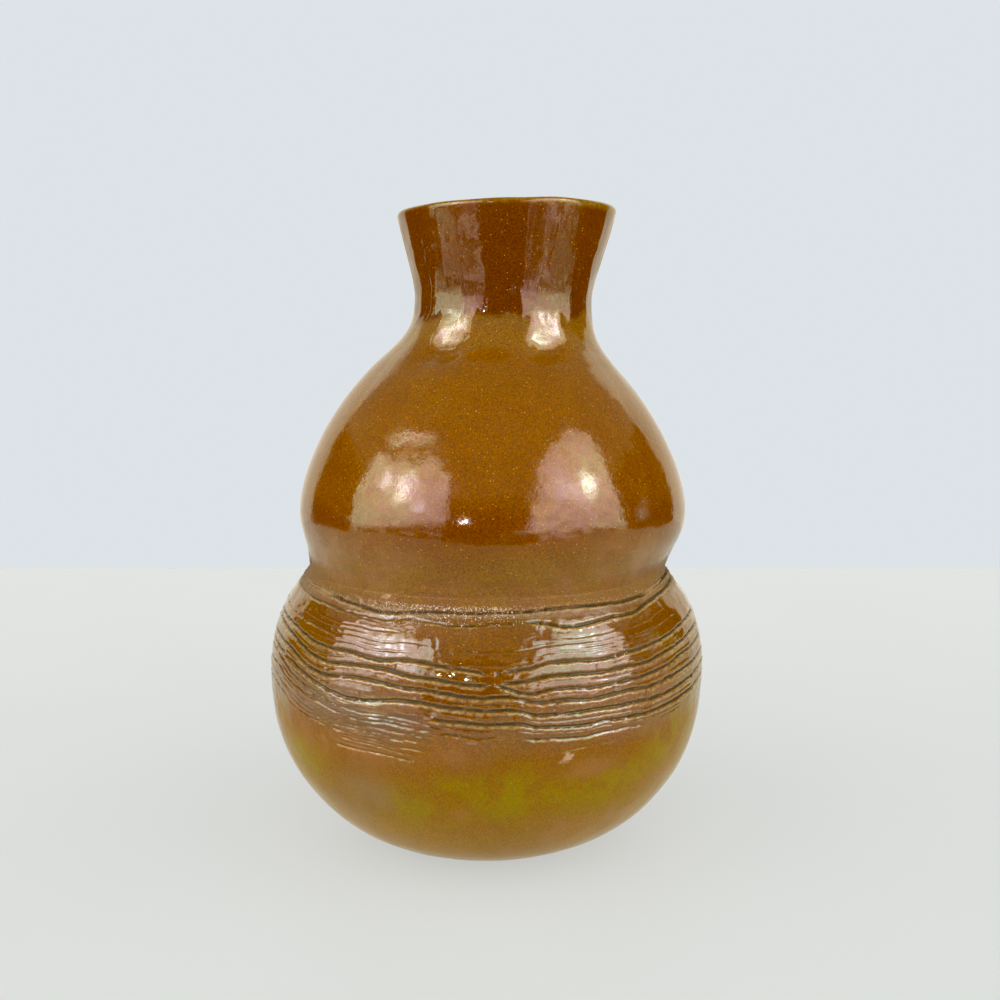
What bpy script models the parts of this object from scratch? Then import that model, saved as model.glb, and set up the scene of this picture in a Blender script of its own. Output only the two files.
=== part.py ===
"""Beehive vase: a hand-built, glazed clay vase of two stacked bulbs and a flared neck.

Five sections, as the pot is made: a floor slab, a lower bulb with a combed band of
grooves, a bead of slip in the crease at the waist, an upper bulb, and a neck collar
that leans a little. Metres, +Z up. The vase rests on z = 0, and the lower bulb's
axis is the Z axis.
"""

import math

import bmesh
import bpy

# ---------------------------------------------------------------- driving dimensions
HEIGHT = 0.245  # floor to lip, at the middle of the mouth

FOOT_RADIUS = 0.0395  # flat face under the floor slab
BELLY_RADIUS = 0.0862  # widest, lower bulb
BELLY_Z = 0.065
BELLY_DROP = 0.0700  # half height of the curve below the belly
BELLY_RISE = 0.0643  # half height of the curve above it
BELLY_FULLNESS = 2.3  # 2 is an ellipse, more is squarer

WAIST_Z = 0.1083  # where the two bulbs meet
SEAM_RADIUS = 0.0713  # throat of the crease, over the slip
SEAM_FOOT_Z = 0.1035  # lower edge of the slip bead
SEAM_TOP_Z = 0.1135  # upper edge

CHEST_RADIUS = 0.0765  # widest, upper bulb
CHEST_Z = 0.1305
CHEST_DROP = 0.0480
CHEST_RISE = 0.0823
CHEST_FULLNESS_LOW = 2.0
CHEST_FULLNESS_HIGH = 1.6  # nearly conical shoulder

COLLAR_Z = 0.1900  # where the neck is luted on
COLLAR_FOOT_RADIUS = 0.0440
THROAT_RADIUS = 0.0348  # narrowest, outside
THROAT_Z = 0.2105
LIP_RADIUS = 0.0420  # outside, at the top
LIP_THICKNESS = 0.0050
LIP_TILT = 0.0013  # the lip stands higher on its +X side by this much

FLOOR_THICKNESS = 0.0090
WALL = 0.0070  # both bulbs
NECK_WALL = 0.0062
JOINT_GAP = 0.0003  # between sections that are luted together

UPPER_SHIFT = 0.0023  # the upper bulb stands this far to +X
NECK_SHIFT = 0.0040  # the neck goes on further, by this much
LIP_SHIFT = 0.0016  # and leans on to the lip, by this much

GROOVE_TOP_Z = 0.0995  # centre of the highest full groove
GROOVE_PITCH = 0.0043
GROOVE_COUNT = 9
GROOVE_DEPTH = 0.0011
GROOVE_WIDTH = 0.0019
GROOVE_SWAY = 0.0011  # how far a groove climbs and falls round the pot

SEGMENTS = 72

GLAZE_AMBER = (0.42, 0.17, 0.03)
GLAZE_OLIVE = (0.30, 0.20, 0.05)
BARE_CLAY = (0.50, 0.38, 0.27)


# ---------------------------------------------------------------- curves
def smooth(low, high, value):
    """0 below low, 1 above high, and an even S between."""
    t = min(1.0, max(0.0, (value - low) / (high - low)))
    return t * t * (3 - 2 * t)


def bow(radius, reach, distance, fullness):
    """Radius of a superellipse at this distance from its widest level."""
    t = min(abs(distance) / reach, 1.0)
    return radius * (1 - t**fullness) ** (1 / fullness)


def lower_outer(z):
    reach = BELLY_DROP if z < BELLY_Z else BELLY_RISE
    return bow(BELLY_RADIUS, reach, z - BELLY_Z, BELLY_FULLNESS)


def upper_outer(z):
    if z < CHEST_Z:
        return bow(CHEST_RADIUS, CHEST_DROP, z - CHEST_Z, CHEST_FULLNESS_LOW)
    return bow(CHEST_RADIUS, CHEST_RISE, z - CHEST_Z, CHEST_FULLNESS_HIGH)


def neck_outer(z):
    if z < THROAT_Z:
        t = (THROAT_Z - z) / (THROAT_Z - COLLAR_Z)
        return THROAT_RADIUS + (COLLAR_FOOT_RADIUS - THROAT_RADIUS) * t**2.4
    t = (z - THROAT_Z) / (HEIGHT - THROAT_Z)
    return THROAT_RADIUS + (LIP_RADIUS - THROAT_RADIUS) * t**1.12


def lean(z):
    """How far the section's centre stands to +X at this height."""
    return (
        UPPER_SHIFT * smooth(0.104, 0.124, z)
        + NECK_SHIFT * smooth(0.182, 0.208, z)
        + LIP_SHIFT * min(1.0, max(0.0, (z - 0.208) / (HEIGHT - 0.208)))
    )


def inward(curve, z, distance, low, high):
    """The point this far inside the curve, square to it."""
    step = 0.0002
    below, above = max(low, z - step), min(high, z + step)
    slope = (curve(above) - curve(below)) / (above - below)
    length = math.hypot(1.0, slope)
    return curve(z) - distance / length, z + distance * slope / length


def levels(low, high, count):
    return [low + (high - low) * i / (count - 1) for i in range(count)]


# ---------------------------------------------------------------- solids
def material(name, colour, roughness):
    made = bpy.data.materials.new(name)
    made.use_nodes = True
    shader = made.node_tree.nodes["Principled BSDF"]
    shader.inputs["Base Color"].default_value = (*colour, 1.0)
    shader.inputs["Roughness"].default_value = roughness
    shader.inputs["Metallic"].default_value = 0.0
    made.diffuse_color = (*colour, 1.0)
    return made


def ring_solid(name, profile, collection, finish, lift=None):
    """Turns a profile of (radius, z) points round the leaning axis.

    The profile is a closed loop. Where its first and last points have no radius, the
    solid is closed on the axis instead. lift(angle, z) raises a point by that much.
    """
    on_axis = profile[0][0] == 0.0
    mesh = bpy.data.meshes.new(name)
    body = bmesh.new()
    rings = []
    for radius, z in profile:
        if radius == 0.0:
            rings.append([body.verts.new((lean(z), 0.0, z))])
            continue
        ring = []
        for i in range(SEGMENTS):
            angle = 2 * math.pi * i / SEGMENTS
            up = lift(angle, z) if lift else 0.0
            ring.append(
                body.verts.new(
                    (
                        lean(z) + radius * math.cos(angle),
                        radius * math.sin(angle),
                        z + up,
                    )
                )
            )
        rings.append(ring)
    pairs = list(zip(rings, rings[1:]))
    if not on_axis:
        pairs.append((rings[-1], rings[0]))
    for one, two in pairs:
        for i in range(SEGMENTS):
            j = (i + 1) % SEGMENTS
            if len(one) == 1:
                body.faces.new((one[0], two[i], two[j]))
            elif len(two) == 1:
                body.faces.new((one[i], two[0], one[j]))
            else:
                body.faces.new((one[i], two[i], two[j], one[j]))
    bmesh.ops.recalc_face_normals(body, faces=body.faces)
    body.to_mesh(mesh)
    body.free()
    mesh.materials.append(finish)
    made = bpy.data.objects.new(name, mesh)
    collection.objects.link(made)
    return made


def groove_lift(angle, z):
    """The combed band sways as it goes round, and lies level at both ends of the wall."""
    hold = smooth(0.045, 0.060, z) * (1 - smooth(0.1000, 0.1035, z))
    return hold * GROOVE_SWAY * (
        0.7 * math.sin(angle + 2.2) + 0.3 * math.sin(2 * angle + 0.6)
    )


def lip_lift(angle, z):
    return LIP_TILT * math.cos(angle) * smooth(0.215, HEIGHT, z)


# ---------------------------------------------------------------- the sections
def floor_slab(collection, finish):
    # The slab's edge follows the bulb's own curve from the flat foot up.
    edge = [
        (max(FOOT_RADIUS, lower_outer(z)), z)
        for z in levels(0.0, FLOOR_THICKNESS, 6)[1:]
    ]
    profile = [(0.0, 0.0), (FOOT_RADIUS, 0.0)] + edge
    profile += [(0.040, FLOOR_THICKNESS), (0.020, FLOOR_THICKNESS)]
    profile += [(0.0, FLOOR_THICKNESS)]
    return ring_solid("floor_slab", profile, collection, finish)


def lower_bulb(collection, finish):
    foot = FLOOR_THICKNESS + JOINT_GAP
    head = WAIST_Z - JOINT_GAP / 2
    last_groove = GROOVE_TOP_Z - GROOVE_PITCH * (GROOVE_COUNT - 1)
    heights = levels(foot, last_groove - GROOVE_WIDTH, 14)
    outer = [(lower_outer(z), z) for z in heights]
    for i in reversed(range(GROOVE_COUNT)):
        middle = GROOVE_TOP_Z - GROOVE_PITCH * i
        depth = GROOVE_DEPTH * (0.75 + 0.25 * math.cos(2.1 * i))
        for offset, cut in (
            (-GROOVE_WIDTH / 2, 0.0),
            (-GROOVE_WIDTH / 6, depth),
            (GROOVE_WIDTH / 6, depth),
            (GROOVE_WIDTH / 2, 0.0),
        ):
            z = middle + offset
            outer.append((lower_outer(z) - cut, z))
    outer += [(lower_outer(z), z) for z in levels(0.1022, head, 4)]
    inner = []
    for z in levels(foot + 0.0005, head - 0.0002, 19):
        r, up = inward(lower_outer, z, WALL, 0.0, head)
        if FLOOR_THICKNESS + JOINT_GAP + 0.0008 < up < head - 0.0045:
            inner.append((r, up))
    first_r = inner[0][0] - 0.9 * (inner[0][1] - foot)
    profile = outer + [(0.0616, head)] + inner[::-1] + [(first_r, foot)]
    return ring_solid("lower_bulb", profile, collection, finish, groove_lift)


def waist_slip_seam(collection, finish):
    # A bead pressed into the crease: its back follows both bulbs, a joint gap off them.
    face = [
        (lower_outer(SEAM_FOOT_Z) + 0.0011, SEAM_FOOT_Z + 0.0003),
        (SEAM_RADIUS + 0.0015, 0.1056),
        (SEAM_RADIUS + 0.0003, 0.1080),
        (SEAM_RADIUS, 0.1102),
        (upper_outer(SEAM_TOP_Z) + 0.0005, SEAM_TOP_Z),
    ]
    back = [
        (upper_outer(0.1130) + 0.0003, 0.1133),
        (upper_outer(0.1105) + 0.0004, 0.1105),
        (lower_outer(WAIST_Z) + 0.0007, WAIST_Z),
        (lower_outer(0.1060) + 0.0004, 0.1062),
        (lower_outer(SEAM_FOOT_Z) + 0.0004, SEAM_FOOT_Z + 0.0003),
    ]
    return ring_solid("waist_slip_seam", face + back, collection, finish)


def upper_bulb(collection, finish):
    foot = WAIST_Z + JOINT_GAP / 2
    head = COLLAR_Z - JOINT_GAP / 2
    outer = [(upper_outer(z), z) for z in levels(foot, head, 23)]
    inner = []
    for z in levels(foot, head, 21):
        r, up = inward(upper_outer, z, WALL, foot, head)
        if foot + 0.0035 < up < head - 0.0020:
            inner.append((r, up))
    last_r = inner[-1][0] - 1.05 * (head - inner[-1][1])
    profile = outer + [(last_r, head)] + inner[::-1] + [(0.0616, foot)]
    return ring_solid("upper_bulb", profile, collection, finish)


def neck_collar(collection, finish):
    foot = COLLAR_Z + JOINT_GAP / 2
    shoulder = HEIGHT - 0.0022  # where the lip starts to round over
    outer = [(neck_outer(z), z) for z in levels(foot, shoulder, 17)]
    # The lip: a half round from the outside over to the inside.
    centre_r = neck_outer(shoulder) - LIP_THICKNESS / 2
    lip = []
    for i in range(1, 8):
        turn = math.pi * i / 8
        lip.append(
            (
                centre_r + LIP_THICKNESS / 2 * math.cos(turn),
                shoulder + (HEIGHT - shoulder) * math.sin(turn),
            )
        )
    inner = []
    for z in levels(foot, shoulder, 15):
        thick = NECK_WALL + (LIP_THICKNESS - NECK_WALL) * smooth(0.225, HEIGHT, z)
        spare = 0.0030 * (1 - smooth(foot, 0.202, z))  # the foot is pressed thicker
        inner.append((neck_outer(z) - thick - spare, z))
    return ring_solid(
        "neck_collar", outer + lip + inner[::-1], collection, finish, lip_lift
    )


def main():
    for old in list(bpy.data.objects):
        bpy.data.objects.remove(old, do_unlink=True)
    scene = bpy.context.scene
    scene.unit_settings.system = "METRIC"
    scene.unit_settings.scale_length = 1.0
    vase = bpy.data.collections.new("beehive_vase")
    scene.collection.children.link(vase)

    amber = material("amber_glaze", GLAZE_AMBER, 0.16)
    olive = material("olive_glaze", GLAZE_OLIVE, 0.18)
    clay = material("slip_clay", BARE_CLAY, 0.55)

    axis = bpy.data.objects.new("vase_axis", None)
    axis.empty_display_size = 0.05
    vase.objects.link(axis)
    for made in (
        floor_slab(vase, olive),
        lower_bulb(vase, olive),
        waist_slip_seam(vase, clay),
        upper_bulb(vase, amber),
        neck_collar(vase, amber),
    ):
        made.parent = axis


main()
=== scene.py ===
"""Beehive vase: the looks.

A hand-built clay vase of two stacked bulbs and a flared neck, in a glossy amber glaze
with a thin lustre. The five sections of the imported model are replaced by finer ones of
the same form: hand-made wobble, combed grooves with their burrs, crumbs of slip in the
crease at the waist, finger-pressed facets on the neck and a rounded lip, all in the
mesh. The outer surface is one height field over (azimuth, height), so that the sections
meet without a step. Metres, +Z up; azimuth 0 is the side that faces -Y, and it grows
towards +X.
"""

import math

import bmesh
import bpy
import numpy as np
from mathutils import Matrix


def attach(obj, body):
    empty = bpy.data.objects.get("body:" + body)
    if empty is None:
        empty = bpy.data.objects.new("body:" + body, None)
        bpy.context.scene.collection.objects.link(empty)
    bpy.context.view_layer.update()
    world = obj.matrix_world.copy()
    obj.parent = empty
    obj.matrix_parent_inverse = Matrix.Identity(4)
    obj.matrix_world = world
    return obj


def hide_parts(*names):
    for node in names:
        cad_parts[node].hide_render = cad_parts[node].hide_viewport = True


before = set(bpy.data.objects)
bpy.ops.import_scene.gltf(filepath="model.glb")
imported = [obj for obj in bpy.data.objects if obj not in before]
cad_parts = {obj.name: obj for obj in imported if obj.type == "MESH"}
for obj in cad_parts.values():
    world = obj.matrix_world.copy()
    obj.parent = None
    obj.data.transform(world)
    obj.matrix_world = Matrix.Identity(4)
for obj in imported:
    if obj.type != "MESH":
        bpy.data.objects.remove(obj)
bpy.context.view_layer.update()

# ---------------------------------------------------------------- the form
HEIGHT = 0.245
FOOT_TOP = 0.0090  # floor slab to lower wall
SEAM_FOOT = 0.1035  # lower edge of the slip in the crease
SEAM_TOP = 0.1135
WAIST = 0.1083
COLLAR = 0.1900  # upper bulb to neck
WALL = 0.0070
NECK_WALL = 0.0062
LIP_THICKNESS = 0.0050
JOINT_RECESS = 0.00015


def smooth(low, high, value):
    """0 at low and 1 at high, whichever of the two is larger."""
    t = np.clip((value - low) / (high - low), 0.0, 1.0)
    return t * t * (3 - 2 * t)


def bow(radius, reach, distance, fullness):
    t = np.clip(np.abs(distance) / reach, 0.0, 1.0)
    return radius * (1 - t**fullness) ** (1 / fullness)


def spline(xs, ys, at):
    """A smooth curve through the points (xs rising), held flat past its ends."""
    xs, ys = np.asarray(xs, float), np.asarray(ys, float)
    at = np.clip(at, xs[0], xs[-1])
    slope = np.gradient(ys, xs) if len(xs) > 2 else np.full(2, (ys[1] - ys[0]) / (xs[1] - xs[0]))
    i = np.clip(np.searchsorted(xs, at) - 1, 0, len(xs) - 2)
    h = xs[i + 1] - xs[i]
    t = (at - xs[i]) / h
    return (
        (2 * t**3 - 3 * t**2 + 1) * ys[i]
        + (t**3 - 2 * t**2 + t) * h * slope[i]
        + (3 * t**2 - 2 * t**3) * ys[i + 1]
        + (t**3 - t**2) * h * slope[i + 1]
    )


def base_radius(z):
    """The outer profile: two bulbs, a slip-filled crease and a flared neck."""
    z = np.asarray(z, float)
    fullness = 2.3 + 0.15 * smooth(0.026, 0.0, z)  # squarer towards the foot
    lower = bow(0.0862, np.where(z < 0.065, 0.0700, 0.0643), z - 0.065, fullness)
    upper = np.where(
        z < 0.1305,
        bow(0.0765, 0.0480, z - 0.1305, 2.0),
        bow(0.0765, 0.0823, z - 0.1305, 1.6),
    )
    rise = np.clip((z - 0.2105) / 0.0345, 0, 1.2)
    neck = np.where(
        z < 0.2105,
        0.0348 + 0.0092 * np.clip((0.2105 - z) / 0.0205, 0, 1.6) ** 2.4,
        0.0348 + 0.0082 * (np.sqrt(rise**2 + 0.026) - 0.16125) / 0.85167,
    )
    crease = spline(
        [0.0995, 0.1010, 0.1025, 0.1038, 0.1052, 0.1063, 0.1072, 0.1082, 0.1095, 0.1115, 0.1135, 0.1155, 0.1175],
        [0.07653, 0.07547, 0.07440, 0.07350, 0.07252, 0.07165, 0.07100, 0.07105, 0.07130, 0.07172, 0.07236, 0.07300, 0.07364],
        z,
    )
    body = np.where(z < 0.1010, lower, np.where(z < 0.1165, crease, upper))
    into_neck = smooth(0.1850, 0.1935, z)
    return body * (1 - into_neck) + neck * into_neck


def lean(z):
    """How far the middle of the pot stands to +X at this height."""
    return (
        0.0023 * smooth(0.104, 0.124, z)
        + 0.0040 * smooth(0.182, 0.208, z)
        + 0.0016 * np.clip((z - 0.208) / 0.037, 0.0, 1.0)
    )


_z = np.linspace(0.0, HEIGHT, 4901)
_s = np.concatenate([[0.0], np.cumsum(np.hypot(np.diff(_z), np.diff(base_radius(_z))))])


def arc(z):
    """Distance along the outer profile up to this height."""
    return np.interp(z, _z, _s)


def heights(low, high, step):
    """Levels from low to high, evenly spaced along the profile."""
    a, b = arc(low), arc(high)
    return np.interp(np.linspace(a, b, int(round((b - a) / step)) + 1), _s, _z)


# ---------------------------------------------------------------- noise, the same each run
def _hash(ix, iy, iz, seed):
    with np.errstate(over="ignore"):
        n = (
            ix.astype(np.uint32) * np.uint32(374761393)
            + iy.astype(np.uint32) * np.uint32(668265263)
            + iz.astype(np.uint32) * np.uint32(2246822519)
            + np.uint32(seed * 3266489917 & 0xFFFFFFFF)
        )
        n = (n ^ (n >> np.uint32(13))) * np.uint32(1274126177)
        n = (n ^ (n >> np.uint32(16))) * np.uint32(2654435761)
        return n ^ (n >> np.uint32(15))


def noise(p, size, seed):
    """Gradient noise of about -1 to 1 at the points p, with lumps of this size."""
    q = p / size
    cell = np.floor(q).astype(np.int64)
    f = q - cell
    fade = f * f * f * (f * (f * 6 - 15) + 10)
    total = 0.0
    for dx in (0, 1):
        for dy in (0, 1):
            for dz in (0, 1):
                h = _hash(cell[..., 0] + dx, cell[..., 1] + dy, cell[..., 2] + dz, seed)
                gx = (h & np.uint32(1023)).astype(float) / 511.5 - 1
                gy = ((h >> np.uint32(10)) & np.uint32(1023)).astype(float) / 511.5 - 1
                gz = ((h >> np.uint32(20)) & np.uint32(1023)).astype(float) / 511.5 - 1
                dot = gx * (f[..., 0] - dx) + gy * (f[..., 1] - dy) + gz * (f[..., 2] - dz)
                w = (
                    (fade[..., 0] if dx else 1 - fade[..., 0])
                    * (fade[..., 1] if dy else 1 - fade[..., 1])
                    * (fade[..., 2] if dz else 1 - fade[..., 2])
                )
                total = total + w * dot
    return total * 1.6


def line_noise(x, size, seed):
    """The same along a line."""
    x = np.asarray(x, float)
    return noise(np.stack([x, np.full_like(x, 0.37 * seed), np.full_like(x, 7.1)], -1), size, seed)


# ---------------------------------------------------------------- the combed band
# Each line was drawn by hand with one tooth: how deep and how wide in mm, over how many
# degrees it starts and stops, and where it runs, as (azimuth in degrees, height in mm).
COMB = (
    # the foot of the slip, all the way round
    (0.95, 0.56, 0, 0, ((-83, 104.8), (-66, 104.7), (-56, 104.6), (-49, 103.9), (-43, 103.2), (-37, 102.8),
        (-33, 102.1), (-28, 101.8), (-25, 101.9), (-21, 102.4), (-17, 102.8), (-9, 103.2), (-4, 103.1),
        (3, 103.3), (11, 103.3), (14, 103.5), (19, 103.8), (25, 103.8), (32, 103.5), (43, 103.3), (49, 103.6),
        (56, 104.4), (62, 105.3), (70, 105.8), (92, 105.4), (120, 104.4), (150, 104.9), (185, 103.9),
        (220, 104.6), (250, 104.1), (277, 104.8))),
    (0.36, 0.42, 10, 2, ((-150, 100.2), (-110, 100.9), (-85, 102.0), (-64, 101.6), (-56, 101.0), (-49, 100.9),
        (-43, 100.3), (-39, 100.1), (-34, 99.9), (-30, 99.7), (-26, 99.6), (-20, 100.6), (-15, 100.0),
        (-8, 99.3), (-4, 99.2), (2, 99.8), (9, 99.9))),
    (0.30, 0.36, 4, 5, ((-40, 100.0), (-34, 99.1), (-30, 98.8), (-26, 98.7))),
    (0.85, 0.62, 5, 8, ((9, 100.5), (14, 99.8), (17, 99.2), (20, 98.2), (27, 98.3), (33, 99.1), (40, 99.2),
        (45, 99.5), (49, 100.7), (54, 101.6), (60, 102.4), (67, 102.9), (74, 103.3), (100, 101.8),
        (130, 101.2), (160, 101.9), (190, 100.6), (215, 100.4))),
    (0.34, 0.42, 6, 5, ((-96, 95.6), (-70, 95.2), (-60, 94.4), (-52, 93.8), (-47, 93.4), (-43, 92.8), (-38, 92.5))),
    (0.16, 0.32, 5, 5, ((-36, 96.4), (-30, 96.1), (-25, 96.2), (-20, 96.1))),
    (0.16, 0.30, 4, 4, ((-5, 96.1), (-1, 95.5), (2, 95.2), (7, 95.5), (13, 96.5))),
    (0.20, 0.32, 4, 6, ((-9, 91.8), (-3, 91.2), (2, 91.1), (7, 91.3), (11, 92.0), (15, 92.6), (22, 92.9),
        (29, 92.7), (33, 92.6))),
    (0.16, 0.30, 4, 4, ((-37, 92.4), (-33, 92.1), (-29, 91.8), (-24, 91.4))),
    (0.24, 0.34, 4, 4, ((-8, 87.4), (-1, 87.2), (4, 87.1), (8, 87.4), (13, 87.8))),
    # the strong lines across the front
    (0.66, 0.55, 12, 3, ((-140, 90.6), (-105, 91.8), (-80, 91.5), (-62, 91.2), (-54, 89.8), (-48, 88.5), (-43, 88.1),
        (-34, 88.2), (-30, 87.6), (-25, 87.1), (-20, 87.8), (-15, 87.7), (-11, 86.9), (-6, 86.1), (-2, 85.3),
        (2, 84.5))),
    (0.62, 0.55, 3, 6, ((3, 85.1), (8, 85.6), (11, 86.2), (14, 87.1), (21, 87.5), (28, 86.8), (32, 87.1),
        (41, 87.8), (52, 88.9), (64, 90.6), (90, 91.0), (118, 90.1))),
    (0.72, 0.58, 0, 3, ((-150, 86.2), (-120, 87.6), (-90, 89.0), (-70, 89.3), (-58, 87.4), (-53, 85.9), (-49, 84.6),
        (-46, 83.9), (-41, 83.5), (-34, 84.1), (-28, 84.5), (-23, 84.3), (-17, 82.9), (-11, 82.5), (-6, 81.5),
        (-1, 80.9), (2, 81.1))),
    (0.72, 0.56, 3, 0, ((3, 81.5), (8, 81.8), (14, 83.0), (21, 83.2), (27, 82.7), (34, 83.0), (43, 82.9),
        (51, 84.3), (58, 84.9), (66, 85.9), (85, 86.6), (110, 85.2), (140, 86.0), (175, 85.2), (212, 86.3))),
    (0.62, 0.52, 2, 0, ((2, 80.8), (5, 80.0), (7, 78.8), (10, 77.8), (15, 78.7), (20, 78.9), (24, 78.2), (31, 78.4),
        (43, 78.7), (47, 79.2), (52, 80.1), (57, 80.9), (63, 81.3), (85, 81.9), (115, 80.6), (145, 81.8),
        (180, 80.8), (215, 82.4), (245, 84.2), (270, 84.8), (290, 84.2))),
    (0.74, 0.60, 0, 0, ((-70, 84.4), (-59, 83.3), (-54, 81.8), (-50, 80.3), (-46, 79.3), (-42, 78.9), (-38, 79.4),
        (-34, 80.0), (-24, 80.0), (-19, 79.1), (-14, 78.9), (-9, 78.0), (-4, 77.1), (1, 76.8), (6, 77.0),
        (9, 75.9), (12, 74.9), (20, 75.0), (24, 74.3), (31, 74.8), (39, 74.7), (43, 74.3), (48, 75.0),
        (57, 75.4), (66, 75.9), (90, 77.0), (120, 75.8), (150, 77.2), (185, 76.6), (215, 78.4), (245, 80.6),
        (272, 81.8), (290, 81.0), (299, 80.2))),
    (0.74, 0.60, 6, 0, ((-62, 80.4), (-55, 78.7), (-50, 77.0), (-45, 75.6), (-41, 74.4), (-38, 73.7), (-35, 72.9),
        (-30, 73.0), (-24, 74.0), (-19, 74.8), (-14, 74.5), (-9, 73.6), (-4, 73.1), (1, 72.5), (7, 72.5),
        (11, 70.8), (17, 70.4), (27, 70.6), (34, 70.2), (39, 70.3), (43, 69.9), (51, 70.2), (58, 70.8),
        (70, 71.6), (95, 72.4), (125, 71.0), (155, 72.4), (190, 72.0), (220, 74.2), (250, 76.8), (275, 78.6),
        (292, 78.8))),
    (0.70, 0.58, 2, 0, ((-12, 71.6), (-11, 69.7), (-9, 69.0), (-4, 68.5), (2, 67.8), (7, 68.0), (12, 66.5),
        (20, 65.8), (24, 65.6), (28, 66.1), (34, 65.5), (44, 65.4), (51, 65.8), (58, 66.3), (70, 67.2),
        (95, 68.0), (125, 66.4), (155, 67.6), (190, 67.2), (220, 69.4), (250, 72.0), (275, 74.0), (293, 74.6))),
    # the finer bunch on the left
    (0.34, 0.40, 0, 4, ((-67, 79.4), (-62, 77.7), (-56, 75.4), (-51, 73.8), (-46, 72.5), (-42, 71.4), (-38, 70.1),
        (-34, 69.2), (-31, 68.7), (-24, 69.3), (-19, 68.8), (-15, 68.2), (-11, 66.6))),
    (0.34, 0.40, 0, 4, ((-66, 75.8), (-58, 72.7), (-52, 71.0), (-47, 69.7), (-42, 68.6), (-38, 67.6), (-35, 66.7),
        (-31, 66.1), (-22, 66.5), (-15, 65.6), (-10, 65.0))),
    (0.30, 0.38, 0, 5, ((-95, 73.2), (-75, 72.6), (-64, 70.8), (-57, 68.5), (-51, 66.2), (-47, 65.1), (-42, 64.5),
        (-35, 64.0), (-26, 64.2), (-19, 63.7), (-11, 62.7))),
    (0.26, 0.36, 12, 5, ((-100, 68.6), (-75, 68.6), (-60, 66.5), (-55, 64.0), (-49, 62.4), (-44, 61.5), (-37, 60.7),
        (-31, 60.2), (-25, 60.0), (-20, 58.6), (-16, 58.4), (-11, 57.0))),
    (0.34, 0.40, 5, 3, ((-41, 57.0), (-37, 55.5), (-32, 55.1), (-26, 55.3), (-20, 54.7), (-15, 53.6))),
    # the last ones, fading, in the middle and on the right
    (0.34, 0.42, 3, 4, ((-11, 65.0), (-6, 64.1), (-2, 63.3), (4, 63.8))),
    (0.40, 0.46, 5, 8, ((6, 63.4), (10, 62.5), (17, 61.9), (24, 61.5), (28, 62.0), (38, 61.8), (44, 60.9))),
    (0.14, 0.30, 6, 6, ((2, 56.5), (8, 56.2), (15, 56.5), (23, 57.8), (31, 58.2), (35, 58.9))),
    (0.22, 0.34, 4, 4, ((44, 61.8), (49, 62.2), (53, 62.5), (58, 63.1))),
    (0.30, 0.40, 8, 14, ((70, 63.0), (95, 63.8), (125, 62.4), (150, 63.6), (180, 62.6))),
    (0.28, 0.38, 10, 12, ((165, 59.6), (190, 60.4), (215, 62.4), (240, 65.6), (262, 68.4))),
    (0.20, 0.34, 8, 8, ((95, 96.4), (125, 95.6), (160, 96.6), (195, 95.9))),
)

def between(first, second, share, begin, end, depth, width, sway):
    """A faint line drawn between two others of the comb, from begin to end in degrees."""
    steps = np.linspace(begin, end, max(5, int((end - begin) / 5)))
    one = spline([p[0] for p in first[4]], [p[1] for p in first[4]], steps)
    two = spline([p[0] for p in second[4]], [p[1] for p in second[4]], steps)
    levels = one + (two - one) * share + sway * np.sin(steps * 0.21 + 3 * share + sway * 9)
    return (depth, width, 4, 4, tuple(zip(steps.tolist(), levels.tolist())))


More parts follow.
